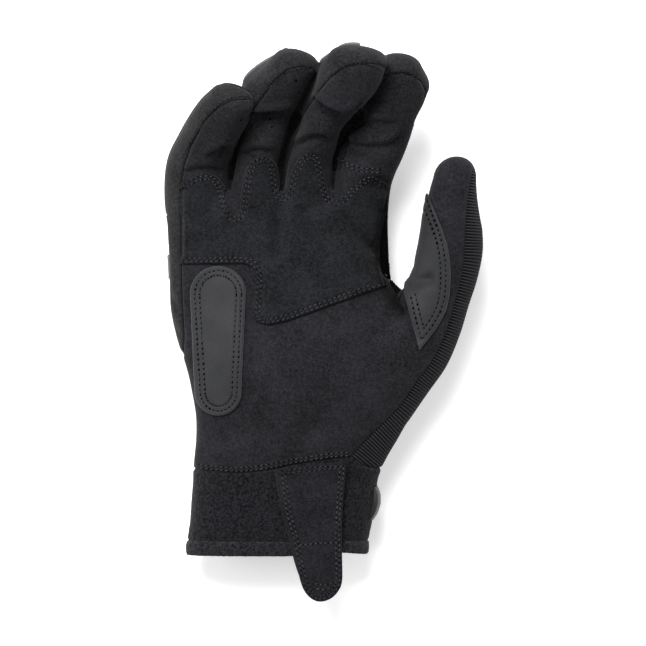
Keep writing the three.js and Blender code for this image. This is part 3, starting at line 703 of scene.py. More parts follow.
# Below this y the fingers lie side by side, and their seams aren't turned in.
FINGERS_PART = 64
NO_SEAM = 9
finger_fields, front_fields = [], []
for number, (name, outline) in enumerate(FRONT_PANELS.items()):
    others = np.delete(nearness, number, axis=0).min(0)
    finger_fields.append(np.minimum.reduce([(others - nearness[number]) * 10, -below_fingers, -in_thumb]))
    front_fields.append(np.minimum(palm_side[number], inside(form_points, outline)))
    cloth(name + "_suede_front", name + "_finger_front",
          np.minimum(finger_fields[number], front_fields[number]), palm_suede,
          seams=np.where(form_points[:, 1] < FINGERS_PART, NO_SEAM, front_fields[number]))

# Outer side strip: suede along the little finger's side of the hand, from beside the heel patch to the
# fingertip. Its suede is painted a touch paler than the palm's, with a little more sheen, as painted light
# for the light that this side catches, and it wraps a little way on to the back of the finger.
STRIP_WRAP = 5
little_side = np.minimum.reduce([finger_fields[0], palm_side[0] + STRIP_WRAP, -front_fields[0]])
palm_side_strip = np.minimum.reduce([in_side, on_top, below_fingers + 1, above_cuff])
cloth("outer_side_suede", "outer_side_strip", np.maximum(little_side, palm_side_strip), lit_side_suede)

# Thumb front: suede on the palm side of the thumb, up to the ribbed knit. On the inner side it runs down
# into the web between thumb and index finger.
THUMB_INNER = 42
thumb_front = np.maximum(palm_side[4], np.minimum(THUMB_INNER - form_points[:, 0], on_top))
cloth("thumb_suede_front", "thumb_front",
      np.minimum.reduce([in_thumb, thumb_front, -in_knit, -in_index_side]), palm_suede, seams=-in_knit)

# Upper palm overlay: a second layer of suede over the upper palm, painted a touch darker than the palm as
# painted shade for its right side, which turns away from the light. Its upper edge runs in scallops up on to
# each finger's base and down between the fingers. Two rows of thick thread hold its upper and lower edges,
# and its sides are caught in the side seams.
# The gap under a sewn layer, its thickness, the rounding of its edge, and the depth and width of an edge that
# is tucked into a side seam.
GAP = 0.3
LAYER = 1.1
ROUNDING = 0.7
TUCK = 0.6
TUCK_WIDTH = 1.4
# Depth and width of the groove at a row of stitches, the rows' distances from the edge, and their pitch.
GROOVE = 0.22
GROOVE_WIDTH = 0.45
SEAM_ROWS = (1.2, 2.8)
STITCH_PITCH = 2.35
OVERLAY_LOW = [[-65.5, 27.2], [-50, 27.2], [-36.5, 27.2], [-32.6, 25.2], [-31.2, 20.5], [-31.9, 9],
               [-31.6, 2.4], [-27, -0.8], [-19, 0.1], [-8, 3.7], [1.7, 7.3], [20.5, 14], [29.2, 17]]
OVERLAY_RIGHT = [[28.6, 21], [26.4, 28], [26, 36.6], [27.2, 44], [28.9, 52], [30.3, 59]]
OVERLAY_TOP = [[30.4, 63.6], [25.4, 67.4], [20.8, 68.4], [13, 63.2], [9, 58.6], [5.3, 57.3], [2.9, 59.4],
               [1.3, 64], [0.2, 70.4], [-1.6, 76.5], [-5.5, 78.9], [-10, 76.7], [-13.2, 71.6], [-15, 66.8],
               [-16.4, 61.4], [-18.4, 59.2], [-20.3, 60.6], [-20.9, 65], [-21.4, 70.6], [-23.6, 75.4],
               [-27.7, 77], [-32.7, 74.9], [-35.8, 68.4], [-37.2, 61.3], [-38, 54.6], [-39.2, 50.9],
               [-41.5, 50], [-43.6, 53.6], [-45.4, 59.2], [-46.8, 64.5], [-50.3, 68.4], [-54.9, 69],
               [-60, 67.6], [-65.5, 64.6]]
rng = np.random.default_rng(7)


def finer(points, normals, triangles):
    """Each triangle split into four at the middles of its edges."""
    sides = np.concatenate([triangles[:, [0, 1]], triangles[:, [1, 2]], triangles[:, [2, 0]]])
    edges, number = np.unique(np.sort(sides, axis=1), axis=0, return_inverse=True)
    ab, bc, ca = (number.ravel() + len(points)).reshape(3, -1)
    a, b, c = triangles.T
    quarters = ((a, ab, ca), (b, bc, ab), (c, ca, bc), (ab, bc, ca))
    split = np.concatenate([np.stack(corners, 1) for corners in quarters])
    return (np.concatenate([points, points[edges].mean(1)]),
            unit(np.concatenate([normals, normals[edges].mean(1)])), split)


def fine_form(field):
    """The part of the hand form round where a field is positive, with its triangles split into four."""
    chosen = form_triangles[(field[form_triangles] > -1.5).any(1)]
    used, triangles = np.unique(chosen, return_inverse=True)
    return finer(form_points[used], form_normals[used], triangles.reshape(-1, 3))


def sewn_on(name, node, outline, material, plain=None, rows=SEAM_ROWS):
    """A layer sewn on the palm side: the part of the hand form inside an outline, lifted, with a rounded
    edge and a shallow groove along each row of stitches. The stretches that `plain` tells are tucked into
    other seams.
    Returns its points and normals, for the stitches to lie on."""
    points, normals, triangles = fine_form(np.minimum(inside(form_points, outline), on_top))
    field = np.minimum(inside(points, outline), above_side(points))
    points, normals, edge, triangles = cut(points, normals, triangles, field)
    top = GAP + LAYER
    lift = top - (top - GAP) * 0.5 * (1 - np.clip(edge / ROUNDING, 0, 1)) ** 2
    tucked = np.zeros(len(points), bool) if plain is None else plain(points)
    lift -= np.where(tucked, (top + TUCK) * np.exp(-((edge / TUCK_WIDTH) ** 2)),
                     sum(GROOVE * np.exp(-(((edge - row) / GROOVE_WIDTH) ** 2)) for row in rows))
    points = points + normals * lift[:, None]
    piece = new_piece(name, points, triangles)
    add_values(piece, "edge", edge)
    # Each point's share of the painted shade in the hollow beside the thumb.
    add_values(piece, "hollow", hollow_shade_share(points))
    thicken(piece, top - GAP)
    seat(piece, node, material)
    return points, normals


def pieces_where(line, chosen):
    """The runs of a line's points that are chosen."""
    runs = np.split(np.arange(len(line)), np.flatnonzero(np.diff(chosen.astype(int))) + 1)
    return [line[run] for run in runs if chosen[run[0]] and len(run) > 20]


def moved_in(outline, distance):
    """An outline moved inwards, less the points that come nearer to it than that, split where it breaks."""
    outline = np.asarray(outline, float)
    ends = np.roll(outline, -1, 0)
    turn = np.sign((outline[:, 0] * ends[:, 1] - outline[:, 1] * ends[:, 0]).sum())
    steps = np.arange(0, 1, 0.02)[:, None, None]
    dense = (outline + steps * (ends - outline)).transpose(1, 0, 2).reshape(-1, 2)
    ahead = unit(np.roll(dense, -3, 0) - np.roll(dense, 3, 0))
    moved = dense + turn * distance * np.column_stack([-ahead[:, 1], ahead[:, 0]])
    kept = moved[inside(moved, outline) > distance - 0.12]
    breaks = np.flatnonzero(np.linalg.norm(np.diff(kept, axis=0), axis=1) > 2.5) + 1
    return [run for run in np.split(kept, breaks) if len(run) > 20]


def evenly(line, pitch):
    """Points along a line, a pitch apart."""
    length = np.r_[0, np.cumsum(np.linalg.norm(np.diff(line, axis=0), axis=1))]
    places = np.linspace(0, length[-1], max(int(round(length[-1] / pitch)), 1) + 1)
    return np.column_stack([np.interp(places, length, line[:, k]) for k in range(line.shape[1])])


def rest_on(spots, points, normals):
    """Points and normals of a surface over spots of the plan, by the plane through its nearest point."""
    up = normals[:, 2] > 0.12
    points, normals = points[up], normals[up]
    parts = np.array_split(spots[:, :2], len(spots) // 64 + 1)
    best = np.concatenate([((part[:, None] - points[:, :2]) ** 2).sum(-1).argmin(1) for part in parts])
    found, facing = points[best], normals[best]
    height = found[:, 2] - ((spots[:, :2] - found[:, :2]) * facing[:, :2]).sum(1) / facing[:, 2]
    return np.column_stack([spots[:, :2], height]), facing


PIT_CORNERS = 8
PIT_LIFT = 0.06


def hole_shade_discs(name, slot, spots, normals, radius, material):
    """Small dark discs of painted shade, for the holes that needles and punches leave in the cloth."""
    along_x = unit(np.cross(normals, [0.0, 1.0, 0.0]))
    along_y = np.cross(normals, along_x)
    rim = full_turn(PIT_CORNERS)[:, None]
    size = (radius * rng.uniform(0.7, 1.15, len(spots)))[:, None, None]
    ring = np.cos(rim) * along_x[:, None] + np.sin(rim) * along_y[:, None]
    discs = spots[:, None] + normals[:, None] * PIT_LIFT + size * ring
    faces = np.arange(len(spots) * PIT_CORNERS).reshape(-1, PIT_CORNERS)[:, ::-1]
    seat(new_piece(name, discs, faces), None, material)


# Rings along a stitch, points round each ring, and the part of the pitch that the thread fills.
STITCH_RINGS = 7
STITCH_SIDES = 6
STITCH_FILL = 0.58


def sew(name, slot, lines, carrier, thread, hole, pitch=STITCH_PITCH, radius=0.25, hole_radius=0.4):
    """Rows of stitches along plan lines on a surface. Each stitch is a thread, thick in the middle, that
    leans and arches out of the cloth and dives in at both ends, and between every two a dark disc of painted
    shade marks the needle hole."""
    starts, ends, holes = [], [], []
    for line in lines:
        spots = evenly(np.asarray(line, float), pitch)
        starts.append(spots[:-1])
        ends.append(spots[1:])
        holes.append(spots)
    starts, start_normals = rest_on(np.concatenate(starts), *carrier)
    ends, end_normals = rest_on(np.concatenate(ends), *carrier)
    count = len(starts)
    middle, run = (starts + ends) / 2, ends - starts
    out = unit(start_normals + end_normals)
    side = unit(np.cross(out, run))
    middle = middle + side * rng.normal(0, 0.08, (count, 1)) + run * rng.normal(0, 0.05, (count, 1))
    run = run * rng.uniform(0.8, 1.15, (count, 1)) + side * rng.normal(0.55, 0.2, (count, 1))
    place = np.linspace(-1, 1, STITCH_RINGS)
    angle = full_turn(STITCH_SIDES)
    arch = out[:, None] * (0.16 - 0.4 * place**4)[:, None]
    centre = middle[:, None] + run[:, None] * (place * STITCH_FILL / 2)[:, None] + arch
    size = radius * np.sqrt(1.05 - place**6)[:, None, None]
    ring = np.cos(angle)[:, None] * side[:, None, None] + np.sin(angle)[:, None] * out[:, None, None]
    shell = size * ring
    first = (np.arange(count) * STITCH_RINGS * STITCH_SIDES)[:, None, None]
    faces = quads(STITCH_RINGS, STITCH_SIDES, True)[None] + first
    threads = new_piece(name + "_thread", centre[:, :, None] + shell, faces.reshape(-1, 4))
    seat(threads, None, thread)
    hole_shade_discs(name + "_needle_holes", slot, *rest_on(np.concatenate(holes), *carrier), hole_radius, hole)


def yarn(name, dark, light):
    """Twisted polyester thread, paler where it is fluffed up, with its strands in its bump."""
    made, tree, shader = finish(name, dark, 0.6, 0.1)
    strands, wear = noise(tree, 0.35, 2.0), noise(tree, 9, 2.0)
    share = maths(tree, "MULTIPLY_ADD", span(tree, strands, 0.35, 0.65), 0.5,
                  span(tree, wear, 0.35, 0.65, 0.0, 0.5))
    tree.links.new(mixed(tree, share, dark, light), shader.inputs["Base Color"])
    tree.links.new(bump(tree, strands, 0.15, 0.6), shader.inputs["Normal"])
    return made


# The stretches where side seams hold the overlay: beyond this x, and between these two y.
HELD_LEFT = (-61.5, 30.5, 62)
HELD_RIGHT = (20, 17.5, 63)


def in_side_seams(points):
    """Whether points lie along the overlay's left or right side, which the side seams hold."""
    x, y = points[:, 0], points[:, 1]
    on_left = (x < HELD_LEFT[0]) & (y > HELD_LEFT[1]) & (y < HELD_LEFT[2])
    on_right = (x > HELD_RIGHT[0]) & (y > HELD_RIGHT[1]) & (y < HELD_RIGHT[2])
    return on_left | on_right


# A touch darker than the palm suede: painted shade for the overlay's right side.
overlay_suede = suede("overlay_suede", "#050506", "#26272a", nap=0.8)
black_thread = yarn("black_thread", "#0c0c0e", "#414147")
# Near-black painted shade for the needle and vent holes.
painted_hole_shade = finish("painted_hole_shade", "#030303", 1.0)[0]
overlay_outline = np.concatenate([curve(OVERLAY_LOW, 90), OVERLAY_RIGHT, curve(OVERLAY_TOP, 240)])
overlay = sewn_on("upper_palm_suede_overlay", "upper_palm_overlay", overlay_outline,
                  overlay_suede, plain=in_side_seams)
overlay_lines = []
for row in SEAM_ROWS:
    for line in moved_in(overlay_outline, row):
        overlay_lines += pieces_where(line, ~in_side_seams(line))
CORNER_STITCHES = [[28.4, 23.4], [31.4, 18.6]]
overlay_lines.append(CORNER_STITCHES)
sew("overlay", "overlay_suede", overlay_lines, overlay, black_thread, painted_hole_shade)

# Heel patch: a stadium of grey grained synthetic leather on the little finger's side of the palm, with rows
# of needle holes whose shade is painted as dark discs.
HEEL_PATCH = [(-48.3, 13.3, 12.9, 0), (-48, -31.9, 10.7, np.pi)]
HEEL_ROWS = (2.1, 4.4)


def grey_leather(name, dark, light, painted_shade_end=None):
    """Fine-grained grey synthetic leather with a faint sheen on its grain. Its thin pale edge is partly its
    pale cut edge and partly a painted highlight, and painted shade makes it darker towards the end given as
    two heights on the hand in metres."""
    made, tree, shader = finish(name, dark, 0.62, 0.05)
    shader.inputs["Specular IOR Level"].default_value = 0.18
    grain, cloud = noise(tree, 0.7, 4.0, 0.7), noise(tree, 12, 2.0)
    share = maths(tree, "MULTIPLY_ADD", span(tree, cloud, 0.3, 0.7), 0.5,
                  span(tree, grain, 0.35, 0.65, 0.0, 0.5))
    # Painted light: up to 2.2 times lighter along the edge, partly the pale cut edge and partly a highlight.
    rim = span(tree, attribute(tree, "edge"), 0.15, 0.6, 2.2, 1.0)
    # Painted shade: darker towards the given end.
    if painted_shade_end:
        parts = tree.nodes.new("ShaderNodeSeparateXYZ")
        tree.links.new(tree.nodes["Texture Coordinate"].outputs["Object"], parts.inputs[0])
        rim = maths(tree, "MULTIPLY", rim, span(tree, parts.outputs["Y"], *painted_shade_end, 1.0, 0.3))
    colour = shaded(tree, mixed(tree, share, dark, light), rim)
    tree.links.new(colour, shader.inputs["Base Color"])
    tree.links.new(bump(tree, grain, 0.25, 0.5), shader.inputs["Normal"])
    return made


grey_patch = grey_leather("grey_patch", "#191a1c", "#29292c")
# The crotch patch takes painted shade towards its thin upper end.
crotch_grey = grey_leather("crotch_grey", "#18191b", "#29292c", (0.036, 0.06))
grey_thread = yarn("grey_thread", "#1a1b1d", "#323337")
arc = np.linspace(0, np.pi, 30)
heel_outline = np.concatenate([np.column_stack([x + r * np.cos(arc + turn), y + r * np.sin(arc + turn)])
                               for x, y, r, turn in HEEL_PATCH])
heel = sewn_on("heel_grey_patch", "heel_patch", heel_outline, grey_patch, rows=HEEL_ROWS)
sew("heel", "grey_patch", [line for row in HEEL_ROWS for line in moved_in(heel_outline, row)], heel,
    grey_thread, painted_hole_shade, hole_radius=0.56)

# Thumb crotch patch: a crescent of the same grey material, which wraps the edge between thumb and palm. Its
# inner side has no stitches that show.
CROTCH_RIGHT = [[48.8, 60.2], [52.3, 50.2], [55.6, 41.2], [57.8, 32.2], [58.6, 20.2], [56.9, 7.8],
                [52.3, -1.8], [44.4, -12.4]]
CROTCH_LEFT = [[44.4, -12.4], [40.1, 4], [37.9, 13.8], [38.6, 19.6], [39, 44], [44, 60.2]]
crotch_outline = np.concatenate([curve(CROTCH_RIGHT, 80), np.array(CROTCH_LEFT[1:])])
crotch = sewn_on("thumb_crotch_grey_patch", "thumb_crotch_patch", crotch_outline, crotch_grey,
                 rows=HEEL_ROWS)
crotch_lines = []
for row in HEEL_ROWS:
    for line in moved_in(crotch_outline, row):
        crotch_lines += pieces_where(line, line[:, 0] > np.interp(line[:, 1], [10, 16, 50], [38, 47, 47]))
sew("crotch", "grey_patch", crotch_lines, crotch, grey_thread, painted_hole_shade, hole_radius=0.66)

# Ribbed knit: a fine rib of black yarn across the strip that runs from the thumb's back to the cuff, where
# the hand needs stretch. Its lower edge slopes from the cuff down to the back of the thumb.
RIB_PITCH = 1.38


def ribbed(name, dark, light, pitch):
    """Knit with a round rib for each pitch along the strip, finely stitched. Its colour is painted near black
    between the ribs as shade, and lighter on their crowns as light.
    """
    made, tree, shader = finish(name, dark, 0.9, 0.05)
    turns = maths(tree, "MULTIPLY", attribute(tree, "rib"), 2 * np.pi / pitch)
    wave = maths(tree, "SINE", turns, 0.0)
    height = maths(tree, "MULTIPLY_ADD", noise(tree, 0.6), 0.7, wave)
    # Painted light and shade: the rib's height sets the colour, dark in the grooves and lighter on the
    # crowns.
    tree.links.new(mixed(tree, span(tree, height, -0.1, 1.3), dark, light), shader.inputs["Base Color"])
    tree.links.new(bump(tree, height, 0.5), shader.inputs["Normal"])
    return made


rib_knit = ribbed("rib_knit", "#010101", "#303036", RIB_PITCH)
# The knit's lower edge: y on the hand and height, from the cuff's side seam down to the thumb's back.
KNIT_LOW = [[-68, 19], [-54, 16.5], [-38, 11.5], [-24, 5], [-14, -3]]
knit_low_y, knit_low_z = np.transpose(KNIT_LOW)
over_low_edge = form_points[:, 2] - np.interp(form_points[:, 1], knit_low_y, knit_low_z)
side_knit = np.minimum(in_knit, over_low_edge)
knit_field = np.maximum(np.minimum.reduce([in_thumb, -np.minimum(thumb_front, -in_knit), -in_index_side]),
                        np.minimum.reduce([side_knit, above_cuff, below_fingers]))
knit = cloth("thumb_rib_knit", "thumb_knit", knit_field, rib_knit)
knit_line = curve(KNIT_EDGE, 240)
knit_length = np.r_[0, np.cumsum(np.linalg.norm(np.diff(knit_line, axis=0), axis=1))]
knit_ahead = unit(np.gradient(knit_line, axis=0))
knit_points = np.empty(len(knit.data.vertices) * 3)
knit.data.vertices.foreach_get("co", knit_points)
knit_spots = knit_points.reshape(-1, 3)[:, :2] * 1000
nearest = ((knit_spots[:, None] - knit_line) ** 2).sum(-1).argmin(1)
past_line = ((knit_spots - knit_line[nearest]) * knit_ahead[nearest]).sum(1)
add_values(knit, "rib", knit_length[nearest] + past_line)

# Knit backs: plain black stretch knit on the back of the hand and of each finger, where the glove lies. Each
# finger's back is one piece, sewn to its front round the fingertip.
BACK_SHARE = 0.35
back_knit = suede("back_knit", "#0b0b0c", "#2e2e31", sheen=0.05)
# The hand's knit is painted near black, darker than the fingers' knit. This is partly the knit's own black
# and partly painted shade for the band beside the index finger, where it shows on the palm side.
shaded_hand_knit = suede("shaded_hand_knit", "#030304", "#0c0c0e", sheen=0.02)
for number, name in enumerate(FRONT_PANELS):
    taken = palm_side[0] + STRIP_WRAP if name == "little" else front_fields[number]
    cloth(name + "_knit_back", name + "_finger_back", np.minimum(finger_fields[number], -taken),
          back_knit, BACK_SHARE, seams=-taken)
# Beside the index finger the hand's knit reaches on to the palm side. This is partly the knit that shows
# there and partly a dark sheet that stands in for shade.
hand_seams = np.maximum(np.minimum.reduce([above_cuff, -on_top, -in_thumb, -side_knit]), in_index_side)
cloth("hand_knit_back", "back_panel", np.minimum(hand_seams, below_fingers), shaded_hand_knit,
      BACK_SHARE, seams=hand_seams)

# Cuff band: brushed stretch fleece round the wrist, sewn under the palm and back along the cuff seam. Its
# upper edge runs in under them, so that no light comes through the seam.
HEM_TOP = -101
CUFF_END = -107.8
UNDER_SEAM = 1.2
UNDER_HEM = 0.4
BAND_RINGS = 60
CUFF_POINTS = 360


def fleece(name, dark, light):
    """Brushed fleece: short matt pile in clumps, paler at its tips."""
    made, tree, shader = finish(name, dark, 1.0, 0.08)
    pile, clump = noise(tree, 1.2, 3.0, 0.75), noise(tree, 4, 3.0)
    share = maths(tree, "MULTIPLY_ADD", clump, 0.5, span(tree, pile, 0.38, 0.64, -0.25, 0.85))
    tree.links.new(mixed(tree, share, dark, light), shader.inputs["Base Color"])
    tree.links.new(bump(tree, pile, 1.0, 0.9), shader.inputs["Normal"])
    return made


def brushed(piece, depth):
    """Raises a pile of so many millimetres on a piece, in clumps."""
    clumps = bpy.data.textures.new(piece.name + "_pile", "CLOUDS")
    clumps.noise_scale = 0.0011
    pile = piece.modifiers.new("pile", "DISPLACE")
    pile.texture = clumps
    pile.texture_coords = "LOCAL"
    pile.strength = depth / 1000


def cuff_seam_y(x):
    """The height of the cuff seam on the hand at each x."""
    return np.interp(x, cuff_line[:, 0], cuff_line[:, 1])


cuff_fleece = fleece("cuff_fleece", "#040405", "#212024")
cuff_angle = full_turn(CUFF_POINTS)
seam_x = palm_surface(-67, cuff_angle)[:, 0]
cuff_top = cuff_seam_y(seam_x) + UNDER_SEAM
band_y = HEM_TOP - UNDER_HEM + (cuff_top - HEM_TOP + UNDER_HEM) * np.linspace(0, 1, BAND_RINGS)[:, None]
turned_in = 0.4 - 1.9 * np.exp(-(((cuff_top - band_y) / 1.35) ** 2))
turned_in = turned_in - 0.5 * np.exp(-(((band_y - HEM_TOP) / 0.8) ** 2))
band_points = palm_surface(band_y, cuff_angle, turned_in)
band = new_piece("cuff_fleece_band", band_points, quads(BAND_RINGS, CUFF_POINTS, True))
thicken(band, 1.6)
brushed(band, 0.35)
seat(band, "cuff_band", cuff_fleece)

# Cuff hem: the fleece folded over at the cuff's end, paler along its fold, and drawn up a little where the
# tab is.
hem_fleece = fleece("hem_fleece", "#08070a", "#2a292d")
HEM_SIDES = 28
HEM_FULLNESS = 2.6
HEM_OUT = -0.3
HEM_HALF = 1.3
hem_angle = full_turn(HEM_SIDES)
hem_across, hem_up = superellipse(hem_angle, HEM_FULLNESS)
hem_y = (HEM_TOP + CUFF_END) / 2 + (HEM_TOP - CUFF_END) / 2 * hem_up
DRAWN_UP = 1.6
DRAWN_AT = 7
DRAWN_WIDTH = 13
hem_x = palm_surface(CUFF_END, cuff_angle)[:, 0]
drawn_up = DRAWN_UP * np.exp(-(((hem_x - DRAWN_AT) / DRAWN_WIDTH) ** 2))
hem_y = hem_y[:, None] + drawn_up * np.clip(-hem_up, 0, 1)[:, None]
hem = new_piece("cuff_fleece_hem",
                palm_surface(hem_y, cuff_angle, HEM_OUT + HEM_HALF * hem_across[:, None]).transpose(1, 0, 2),
                quads(CUFF_POINTS + 1, HEM_SIDES, True) % (CUFF_POINTS * HEM_SIDES))
brushed(hem, 0.4)
seat(hem, "cuff_hem", hem_fleece)

# Cuff seam: the palm's lower edge is topstitched above the seam with two rows of the same thread, from the
# outer side of the hand to the far edge of the pull tab.
CUFF_ROWS = (1.3, 2.8)
SEWN_FROM = -60
SEWN_TO = 12
seam_side = curve(CUFF_SEAM, 200)
seam_side = seam_side[(seam_side[:, 0] > SEWN_FROM) & (seam_side[:, 0] < SEWN_TO)]
seam_rows = [seam_side + [0, rise] for rise in CUFF_ROWS]
sew("cuff_seam", "suede", seam_rows, (form_points, form_normals), black_thread, painted_hole_shade)

# Pull tab: two layers of suede sewn together, caught in the cuff seam, that hang past the hem. The wearer
# pulls the glove on by it, and its free end droops a little.
TAB_FRONT = [[-20.3, -66.9], [-18, -85.3], [-13.8, -102.8], [-12, -112.4], [-9.7, -121.4], [-6.5, -126.5],
             [-1.9, -128.9], [3.4, -127.6], [7.2, -123.8], [8.9, -118.6], [8.8, -106.5], [8.8, -92.2],
             [9.7, -77.9], [11.1, -63.4]]
TAB_BACKING = [[-22.4, -68], [-19.6, -85.3], [-15, -102.8], [-12.7, -112], [-9, -121.4], [-5, -125],
               [-1.4, -126.6], [3, -125.6], [6, -122.6], [7.6, -118.3], [8, -106.5], [8, -92.2],
               [8.9, -77.9], [10.2, -63.8]]
TAB_STEP = 0.45
TAB_ROUNDING = 0.6
TAB_EDGE_DROP = 0.4
TAB_GROOVE = 0.2
TAB_SEAM_END = -66
DROOP = 0.005
tab_suede = suede("tab_suede", "#09090b", "#28282c")


def palm_height(x, y, lift):
    """Height of the palm side of the cuff at each place, lifted."""
    place = np.interp(y, np.array(PALM)[:, 0], np.linspace(0, 1, len(PALM)))
    left, right, low, high = along(PALM, place).T[1:]
    share = np.clip(np.abs(x - (left + right) / 2) / ((right - left) / 2 + lift), 0, 0.999)
    return (low + high) / 2 + ((high - low) / 2 + lift) * (1 - share**PALM_FULLNESS) ** (1 / PALM_FULLNESS)


def tab_layer(name, node, outline, low, high, rows):
    """A flat layer that lies over the cuff: a plan grid at the cuff's height, cut to its outline, with a
    rounded edge and grooves under its stitches. Returns its points and normals."""
    outline = curve(outline, 120)
    x, y = np.meshgrid(np.arange(-24, 13, TAB_STEP), np.arange(-129, -62, TAB_STEP))
    points = np.column_stack([x.ravel(), y.ravel(), palm_height(x.ravel(), y.ravel(), high)])
    grid = quads(*x.shape)
    triangles = np.concatenate([grid[:, [0, 2, 1]], grid[:, [0, 3, 2]]])
    normals = np.tile([0.0, 0.0, 1.0], (len(points), 1))
    points, normals, edge, triangles = cut(points, normals, triangles, inside(points, outline))
    past_hem = np.maximum(HEM_TOP - points[:, 1], 0)
    points[:, 2] -= TAB_EDGE_DROP * (1 - np.clip(edge / TAB_ROUNDING, 0, 1)) ** 2 + DROOP * past_hem**2
    points[:, 2] -= sum(TAB_GROOVE * np.exp(-(((edge - row) / GROOVE_WIDTH) ** 2)) for row in rows)
    piece = new_piece(name, points, triangles)
    add_values(piece, "edge", edge)
    thicken(piece, high - low)
    seat(piece, node, tab_suede)
    return outline, (points, normals)


tab_layer("pull_tab_suede_backing", "pull_tab_backing", TAB_BACKING, low=1.3, high=2.3, rows=())
tab_outline, tab = tab_layer("pull_tab_suede_front", "pull_tab", TAB_FRONT, low=2.6, high=3.7, rows=SEAM_ROWS)
tab_lines = [line[line[:, 1] < TAB_SEAM_END] for row in SEAM_ROWS for line in moved_in(tab_outline, row)]
TAB_CROSS_ROWS = [
    [[-11.5, -102.4], [-4, -101.6], [7, -101.2]],
    [[-4.5, -120.5], [0, -121], [4.5, -120]],
    [[-4, -122.6], [0, -123.2], [4, -122.4]],
]
tab_lines += TAB_CROSS_ROWS
sew("pull_tab", "suede", [line for line in tab_lines if len(line) > 2], tab, black_thread, painted_hole_shade)

# Fingers: punched vent holes on the palm side, their shade painted as dark discs, two rows of stitches across
# the index finger's base, and a single line of small dark stitches that pulls in the seam round each
# fingertip.
VENTS = [[-37.4, 92.7], [-43.8, 83.7], [-11, 105.3], [-12.4, 110.2], [-23.4, 89.9], [-24.3, 93.5],
         [-26.9, 78.8], [-0.2, 96]]
INDEX_BASE = [[6, 75.3], [12.5, 71.6], [18, 69.8], [26.3, 69.3]]
TIP_SEAMS = [
    [[-65, 76.1], [-61.1, 82.3], [-56.8, 88.5], [-51.6, 95.4], [-45.1, 101], [-39.6, 102.9], [-34.2, 103.6]],
    [[-28.8, 102.9], [-24.1, 108], [-18.6, 112.7], [-13.2, 114.9], [-5.9, 116.1]],
    [[4.5, 112.4], [8.6, 115.9], [15.8, 117.5], [22.2, 116.4], [24.5, 115.1]],
    [[27.9, 114.4], [33.4, 114.5], [39.2, 114.4], [43, 110.7]],
]
skin = (form_points, form_normals)
dark_thread = yarn("dark_thread", "#060607", "#1a1a1d")
hole_shade_discs("vent_holes", "suede", *rest_on(np.array(VENTS), *skin), 0.6, painted_hole_shade)
index_rows = [np.add(curve(INDEX_BASE), [0, rise]) for rise in (0, 1.6)]
sew("index_base", "suede", index_rows, skin, black_thread, painted_hole_shade)
sew("fingertips", "suede", [curve(seam) for seam in TIP_SEAMS], skin, dark_thread, painted_hole_shade,
    pitch=1.9, radius=0.2, hole_radius=0.3)

# Knuckle guard and finger pads: pale grey moulded foam on the back of the hand. The guard is flat
# underneath, where the glove lies on it.
KNUCKLE_GUARD = [[-69, 20], [-82, 21.5], [-82, 30.5], [-69, 32.5], [-64, 41], [-52, 47], [-30, 49],
                 [-8, 49], [14, 47], [24, 41], [26, 30], [22, 19], [4, 11], [-24, 7], [-52, 5], [-66, 9]]
GUARD_HIGH = 15
PAD_FROM = 96
PAD_BEHIND = 6.5


def moulded(name, dark, light):
    """Matt foam skin, slightly mottled, with a fine moulded grain."""
    made, tree, shader = finish(name, dark, 0.55, 0.1)
    shader.inputs["Specular IOR Level"].default_value = 0.4
    grain = noise(tree, 0.8, 3.0)
    tree.links.new(mixed(tree, noise(tree, 9, 3.0), dark, light), shader.inputs["Base Color"])
    tree.links.new(bump(tree, grain, 0.15, 0.5), shader.inputs["Normal"])
    return made


def padding(name, node, field, low, high, rounding, side_share, material):
    """Moulded padding on the back: a part of the hand form lifted off it with a round edge, thinner by a
    share where it faces sideways, and never below the surface that the glove lies on."""
    points, normals, edge, triangles = cut(form_points, form_normals, form_triangles, field)
    round_edge = np.sqrt(1 - (1 - np.clip(edge / rounding, 0, 1)) ** 2)
    sideways = 1 - side_share * (1 - np.clip(-normals[:, 2], 0, 1))
    outer = points + normals * (low + (high - low) * round_edge * sideways)[:, None]
    outer[:, 2] = np.maximum(outer[:, 2], 0)
    piece = new_piece(name, outer, triangles)
    lighten(piece, BACK_SHARE)
    thicken(piece, 1.5)
    seat(piece, node, material)


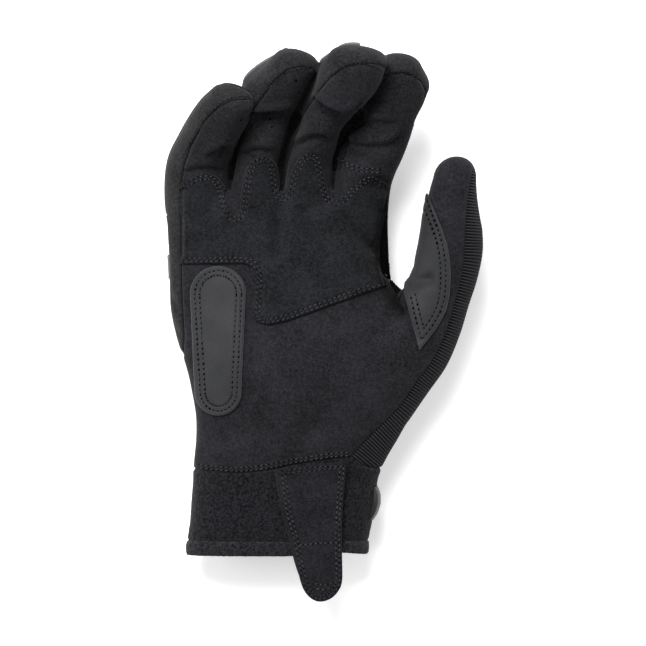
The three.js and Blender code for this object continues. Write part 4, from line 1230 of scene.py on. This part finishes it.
guard_grey = moulded("guard_grey", "#48494e", "#5a5b60")
guard_field = np.minimum.reduce([inside(form_points, KNUCKLE_GUARD), GUARD_HIGH - form_points[:, 2],
                                 -facing_up + 0.6])
padding("knuckle_foam_guard", "knuckle_guard", guard_field, low=0.3, high=5, rounding=3, side_share=0.8,
        material=guard_grey)
for number, name, right in ((1, "ring", -16), (2, "middle", 17)):
    padding(name + "_foam_pad", name + "_finger_pad",
            np.minimum.reduce([finger_fields[number], -PAD_BEHIND - palm_side[number],
                               form_points[:, 1] - PAD_FROM, right - form_points[:, 0]]),
            low=0.3, high=1.9, rounding=1.5, side_share=0.0, material=guard_grey)

# Wrist strap: a flat strap across the back of the cuff, whose moulded end lies on the cuff's thumb side. It
# holds the cuff closed, and the glove rests on it.
STRAP_SIDES = 36


def strap(name, node, x_range, y_range, z_top, low, high, taper, material):
    """A strap round the cuff: a closed band that follows the cuff's section, flat where it would pass the
    floor, and thinner by a share towards its two long edges."""
    angle = np.linspace(np.pi, 2 * np.pi + 0.9, 400)
    base = palm_surface(np.mean(y_range), angle)
    angle = angle[(base[:, 0] > x_range[0]) & (base[:, 0] < x_range[1]) & (base[:, 2] < z_top)]
    turn = full_turn(STRAP_SIDES)
    wide, thick = superellipse(turn, 5)
    y = np.mean(y_range) + (y_range[1] - y_range[0]) / 2 * wide[:, None]
    thickness = (high - low) * (1 - taper * wide**2)
    points = palm_surface(y, angle, low + (thickness * (thick + 1) / 2)[:, None])
    points[..., 2] = np.maximum(points[..., 2], 0)
    points = points.transpose(1, 0, 2)
    rings = len(points)
    last = rings * STRAP_SIDES - 1
    ends = [list(range(STRAP_SIDES)), list(range(last, last - STRAP_SIDES, -1))]
    piece = new_piece(name, points, quads(rings, STRAP_SIDES, True).tolist() + ends)
    seat(piece, node, material)


# No rib is stored on the strap, so this knit shows on it as a plain close weave.
strap_web = ribbed("strap_web", "#161618", "#2c2c30", 1.2)
strap_end = moulded("strap_end", "#0d0e0f", "#1a1b1d")
strap("wrist_web_strap", "wrist_strap", x_range=(-57, 14), y_range=(-96, -74), z_top=12,
      low=0.7, high=5, taper=0.0, material=strap_web)
strap("wrist_strap_end", "strap_end", x_range=(14.3, 60), y_range=(-91.5, -76), z_top=25,
      low=0.7, high=3.0, taper=0.9, material=strap_end)
